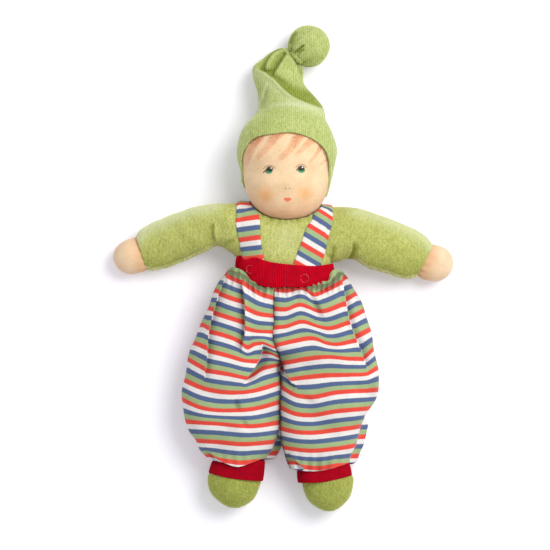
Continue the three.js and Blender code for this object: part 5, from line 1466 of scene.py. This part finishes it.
# Each strap's middle line up the chest, its half widths by y, which way its stripes are numbered,
# how many degrees they lean, and the number that they start from.
STRAPS = {
    "right": (
        [(-26.9, 5.3), (-27.9, 11.8), (-29.9, 21.1), (-32.0, 35.1), (-32.9, 49.0), (-32.6, 57.4)],
        [(5, 9.7), (21, 9.9), (35, 10.9), (49, 11.6), (57, 11.7), (63, 10.6)],
        -1, 6, 0.23,
    ),
    "left": (
        [(20.8, -0.7), (23.5, 7.2), (28.3, 21.1), (32.2, 35.1), (36.0, 49.0), (36.6, 57.4)],
        [(0, 12.9), (7, 12.8), (21, 12.3), (35, 11.6), (49, 10.9), (56, 10.4), (62, 9.4)],
        1, 28, 0.0,
    ),
}
# Straps are laid by rays: down onto the chest, in round the shoulder, then up onto the back.
ROUND_Y, BACK_END_Y, RAY_REACH = 40.0, -2, 120.0


def shell_of(pieces):
    """The pieces' surfaces together, to lay cloth on."""
    corners, faces = [], []
    for piece in pieces:
        start = len(corners)
        corners += [tuple(vertex.co) for vertex in piece.data.vertices]
        faces += [tuple(start + i for i in face.vertices) for face in piece.data.polygons]
    return BVHTree.FromPolygons(corners, faces)


def strap_rays(middle_line):
    """Where each row of a strap is laid from, and which way."""
    line = drawn(middle_line, 10)
    rays = [((at_x, at_y, RAY_REACH), (0, 0, -1)) for at_x, at_y in line[:-1] if at_y <= ROUND_Y]
    top_x = line[-1][0]
    for angle in np.radians(np.linspace(90, -90, 60)[1:]):
        away = np.array([0, math.cos(angle), math.sin(angle)])
        rays.append((np.array([top_x, ROUND_Y, TORSO_Z]) + away * RAY_REACH, -away))
    back = np.linspace((top_x, ROUND_Y), (middle_line[0][0], BACK_END_Y), 60)[1:]
    return rays + [((at_x, at_y, -RAY_REACH / 2), (0, 0, 1)) for at_x, at_y in back]


def laid_cloth(rays, half_widths, shell):
    """A strip of points where the rays meet a shell, evened out like cloth drawn over it."""
    sheet = np.full((len(rays), STRAP_COLUMNS, 3), np.nan)
    for i, (start, direction) in enumerate(rays):
        half = curve_through(half_widths, start[1])
        for j, share in enumerate(np.linspace(-1, 1, STRAP_COLUMNS)):
            origin = (np.array(start) + [share * half, 0, 0]) / 1000
            hit = shell.ray_cast(Vector(origin), Vector(direction))[0]
            if hit:
                sheet[i, j] = np.array(hit) * 1000
    # Rays that pass between the pieces take their place from those beside them.
    index = np.arange(len(rays))
    for column in np.moveaxis(sheet, 0, -1).reshape(-1, len(rays)):
        missed = np.isnan(column)
        column[missed] = np.interp(index[missed], index[~missed], column[~missed])
    for _ in range(6):
        sheet[1:-1] = (sheet[:-2] + 2 * sheet[1:-1] + sheet[2:]) / 4
        sheet[:, 1:-1] = (sheet[:, :-2] + 2 * sheet[:, 1:-1] + sheet[:, 2:]) / 4
    return sheet


under_straps = shell_of([torso] + [bpy.data.objects["velour_sleeve_" + side] for side, _ in SIDES])
for side, (middle_line, half_widths, order, lean, phase) in STRAPS.items():
    sheet = laid_cloth(strap_rays(middle_line), half_widths, under_straps)
    middle = STRAP_COLUMNS // 2
    # The first rows lie on the chest, which faces up.
    out = outward(sheet, closed=False)
    out *= np.sign(out[5, middle, 2])
    passed = np.linalg.norm(np.diff(sheet[:, middle], axis=0), axis=-1)
    length = np.concatenate([[0], np.cumsum(passed)])[:, None]
    beside_middle = sheet[..., 0] - sheet[:, middle : middle + 1, 0]
    number = (order * length + beside_middle * math.tan(math.radians(lean))) / STRIPE_REPEAT + phase
    edge = (1 - np.linspace(-1, 1, STRAP_COLUMNS) ** 8)[None, :, None]
    upper_side = sheet + out * (STRAP_EDGE + STRAP_THICKNESS * edge)
    lower_side = sheet + out * STRAP_UNDER
    unpressed = np.concatenate([upper_side, lower_side[:, ::-1]], axis=1)
    grid = below_head(unpressed)
    # The stripes move with the cloth that the head presses down.
    number = np.concatenate([number, number[:, ::-1]], axis=1)
    number += order * (grid[..., 1] - unpressed[..., 1]) / STRIPE_REPEAT
    strap = cloth_mesh("jersey_strap_" + side, grid, jersey, True, True)
    number_points(strap, "stripe", [*number.ravel(), number[0, 0], number[-1, 0]])
    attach(strap, "torso")
    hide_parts("strap_" + side)

# Snaps
# Open-ring press snaps: a red enamelled ring shows on the strap, its stud behind it closes into
# the socket in the waistband.
SNAPS = {"right": (-30.4, -1.6), "left": (19.9, -9.9)}
# Radius and height of each part's rows, along the axis out of the band.
RING_PROFILE = [(3.3, -1.2), (3.3, 0.2), (3.4, 0.55), (3.68, 0.75), (3.95, 0.55), (4.05, 0.2),
                (4.05, -1.2)]
SOCKET_PROFILE = [(0.6, -1.5), (3.1, -1.5), (3.2, -1.7), (3.2, -2.6), (2.6, -2.8), (0.8, -2.8)]
STUD_PROFILE = [(0.5, -2.9), (1.1, -2.95), (1.3, -3.2), (3.0, -3.4), (3.2, -3.6), (3.1, -3.9)]


def snap_material(name, dark, bright, marks_size, marks_detail, bump_mm, **shader_values):
    """Enamel or nickel, slightly uneven, with marks of about this size in millimetres."""
    material, tree = new_material(name)
    where = millimetres(tree, put(tree, "ShaderNodeTexCoord").outputs["Object"])
    marks = mottle(tree, where, marks_size, marks_detail)
    colour = tinted(tree, marks, dark, bright, 0.3, 0.7)
    finish_material(colour, marks, bump_mm, 0.3, **shader_values)
    return material


def turned(name, profile, place, axis, metal):
    """A turned part: its profile gives rows of radius and height along its axis."""
    axis = unit(np.asarray(axis, float))
    side, front = sides_of(axis, (0, 1, 0))
    turn = full_turn(48)[None, :, None]
    radius, height = np.asarray(profile, float).T[..., None, None]
    grid = place + axis * height + radius * (np.cos(turn) * side + np.sin(turn) * front)
    return cloth_mesh(name, grid, metal, True, True)


enamel = snap_material("snap enamel", (176, 14, 40), (205, 22, 50), 1.4, 2, 0.03, Roughness=0.14,
                       Coat_Weight=1.0, Coat_Roughness=0.06)
nickel = snap_material("snap nickel", (170, 168, 160), (208, 206, 198), 0.6, 3, 0.02,
                       Roughness=0.3, Metallic=1.0)
band_shell = shell_of([waistband])
for side, (at_x, at_y) in SNAPS.items():
    above = Vector((at_x / 1000, at_y / 1000, 0.2))
    place = np.array(band_shell.ray_cast(above, Vector((0, 0, -1)))[0]) * 1000
    axis = (0.0035 * at_x, 0, 1)
    for part, profile, metal, material_slot in (
        ("snap_ring_", RING_PROFILE, enamel, "snap_enamel"),
        ("snap_socket_", SOCKET_PROFILE, nickel, "snap_metal"),
        ("snap_stud_", STUD_PROFILE, nickel, "snap_metal"),
    ):
        snap_part = turned("turned_" + part + side, profile, place, axis, metal)
        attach(snap_part, "torso")
        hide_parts(part + side)

# Floor and light
# A pale sheet of paper under the doll, one large soft light from the upper right, the view from
# straight above.
FLOOR_HALF, FLOOR_Z = 3, -0.0004
floor_corners = [
    (FLOOR_HALF * x, FLOOR_HALF * y, FLOOR_Z) for x, y in ((-1, -1), (1, -1), (1, 1), (-1, 1))
]
floor_mesh = bpy.data.meshes.new("paper_floor")
floor_mesh.from_pydata(floor_corners, [], [(0, 1, 2, 3)])
floor = bpy.data.objects.new("paper_floor", floor_mesh)
bpy.context.scene.collection.objects.link(floor)


def paper_material():
    """Matt white paper that the view sees as white outside the shadow."""
    material, tree = new_material("white paper")
    path = put(tree, "ShaderNodeLightPath")
    seen = maths(tree, "MAXIMUM", path.outputs["Is Camera Ray"], path.outputs["Is Glossy Ray"])
    seen = maths(tree, "MAXIMUM", seen, path.outputs["Is Transmission Ray"])
    diffuse = put(tree, "ShaderNodeBsdfDiffuse", {"Color": (0.94, 0.92, 0.99, 1)})
    glow = maths(tree, "MULTIPLY", seen, 0.145)
    glow = put(tree, "ShaderNodeEmission", {"Color": (1, 1, 1, 1), "Strength": glow})
    both = put(tree, "ShaderNodeAddShader", {0: diffuse.outputs[0], 1: glow.outputs[0]})
    put(tree, "ShaderNodeOutputMaterial", {"Surface": both.outputs[0]})
    return material


floor.data.materials.append(paper_material())
LIGHT_PLACE = (1.35, 1.05, 2.45)
key = bpy.data.objects.new("window", bpy.data.lights.new("window", "AREA"))
key.data.shape, key.data.size = "DISK", 1.9
key.data.energy = 64
key.data.color = (1.0, 0.985, 0.96)
key.location = LIGHT_PLACE
key.rotation_euler = (-Vector(LIGHT_PLACE)).to_track_quat("-Z", "Y").to_euler()
bpy.context.scene.collection.objects.link(key)
world = bpy.data.worlds.new("room")
world.use_nodes = True
world.node_tree.nodes["Background"].inputs["Color"].default_value = (0.95, 0.97, 1.0, 1)
world.node_tree.nodes["Background"].inputs["Strength"].default_value = 0.68
bpy.context.scene.world = world
bpy.context.scene.view_settings.view_transform = "Standard"
camera = bpy.data.objects.new("camera", bpy.data.cameras.new("camera"))
camera.location = (-0.00744, -0.00677, 5.03)
camera.data.lens, camera.data.sensor_width = 351.9, 36.0
camera.data.clip_end = 20
bpy.context.scene.collection.objects.link(camera)
bpy.context.scene.camera = camera
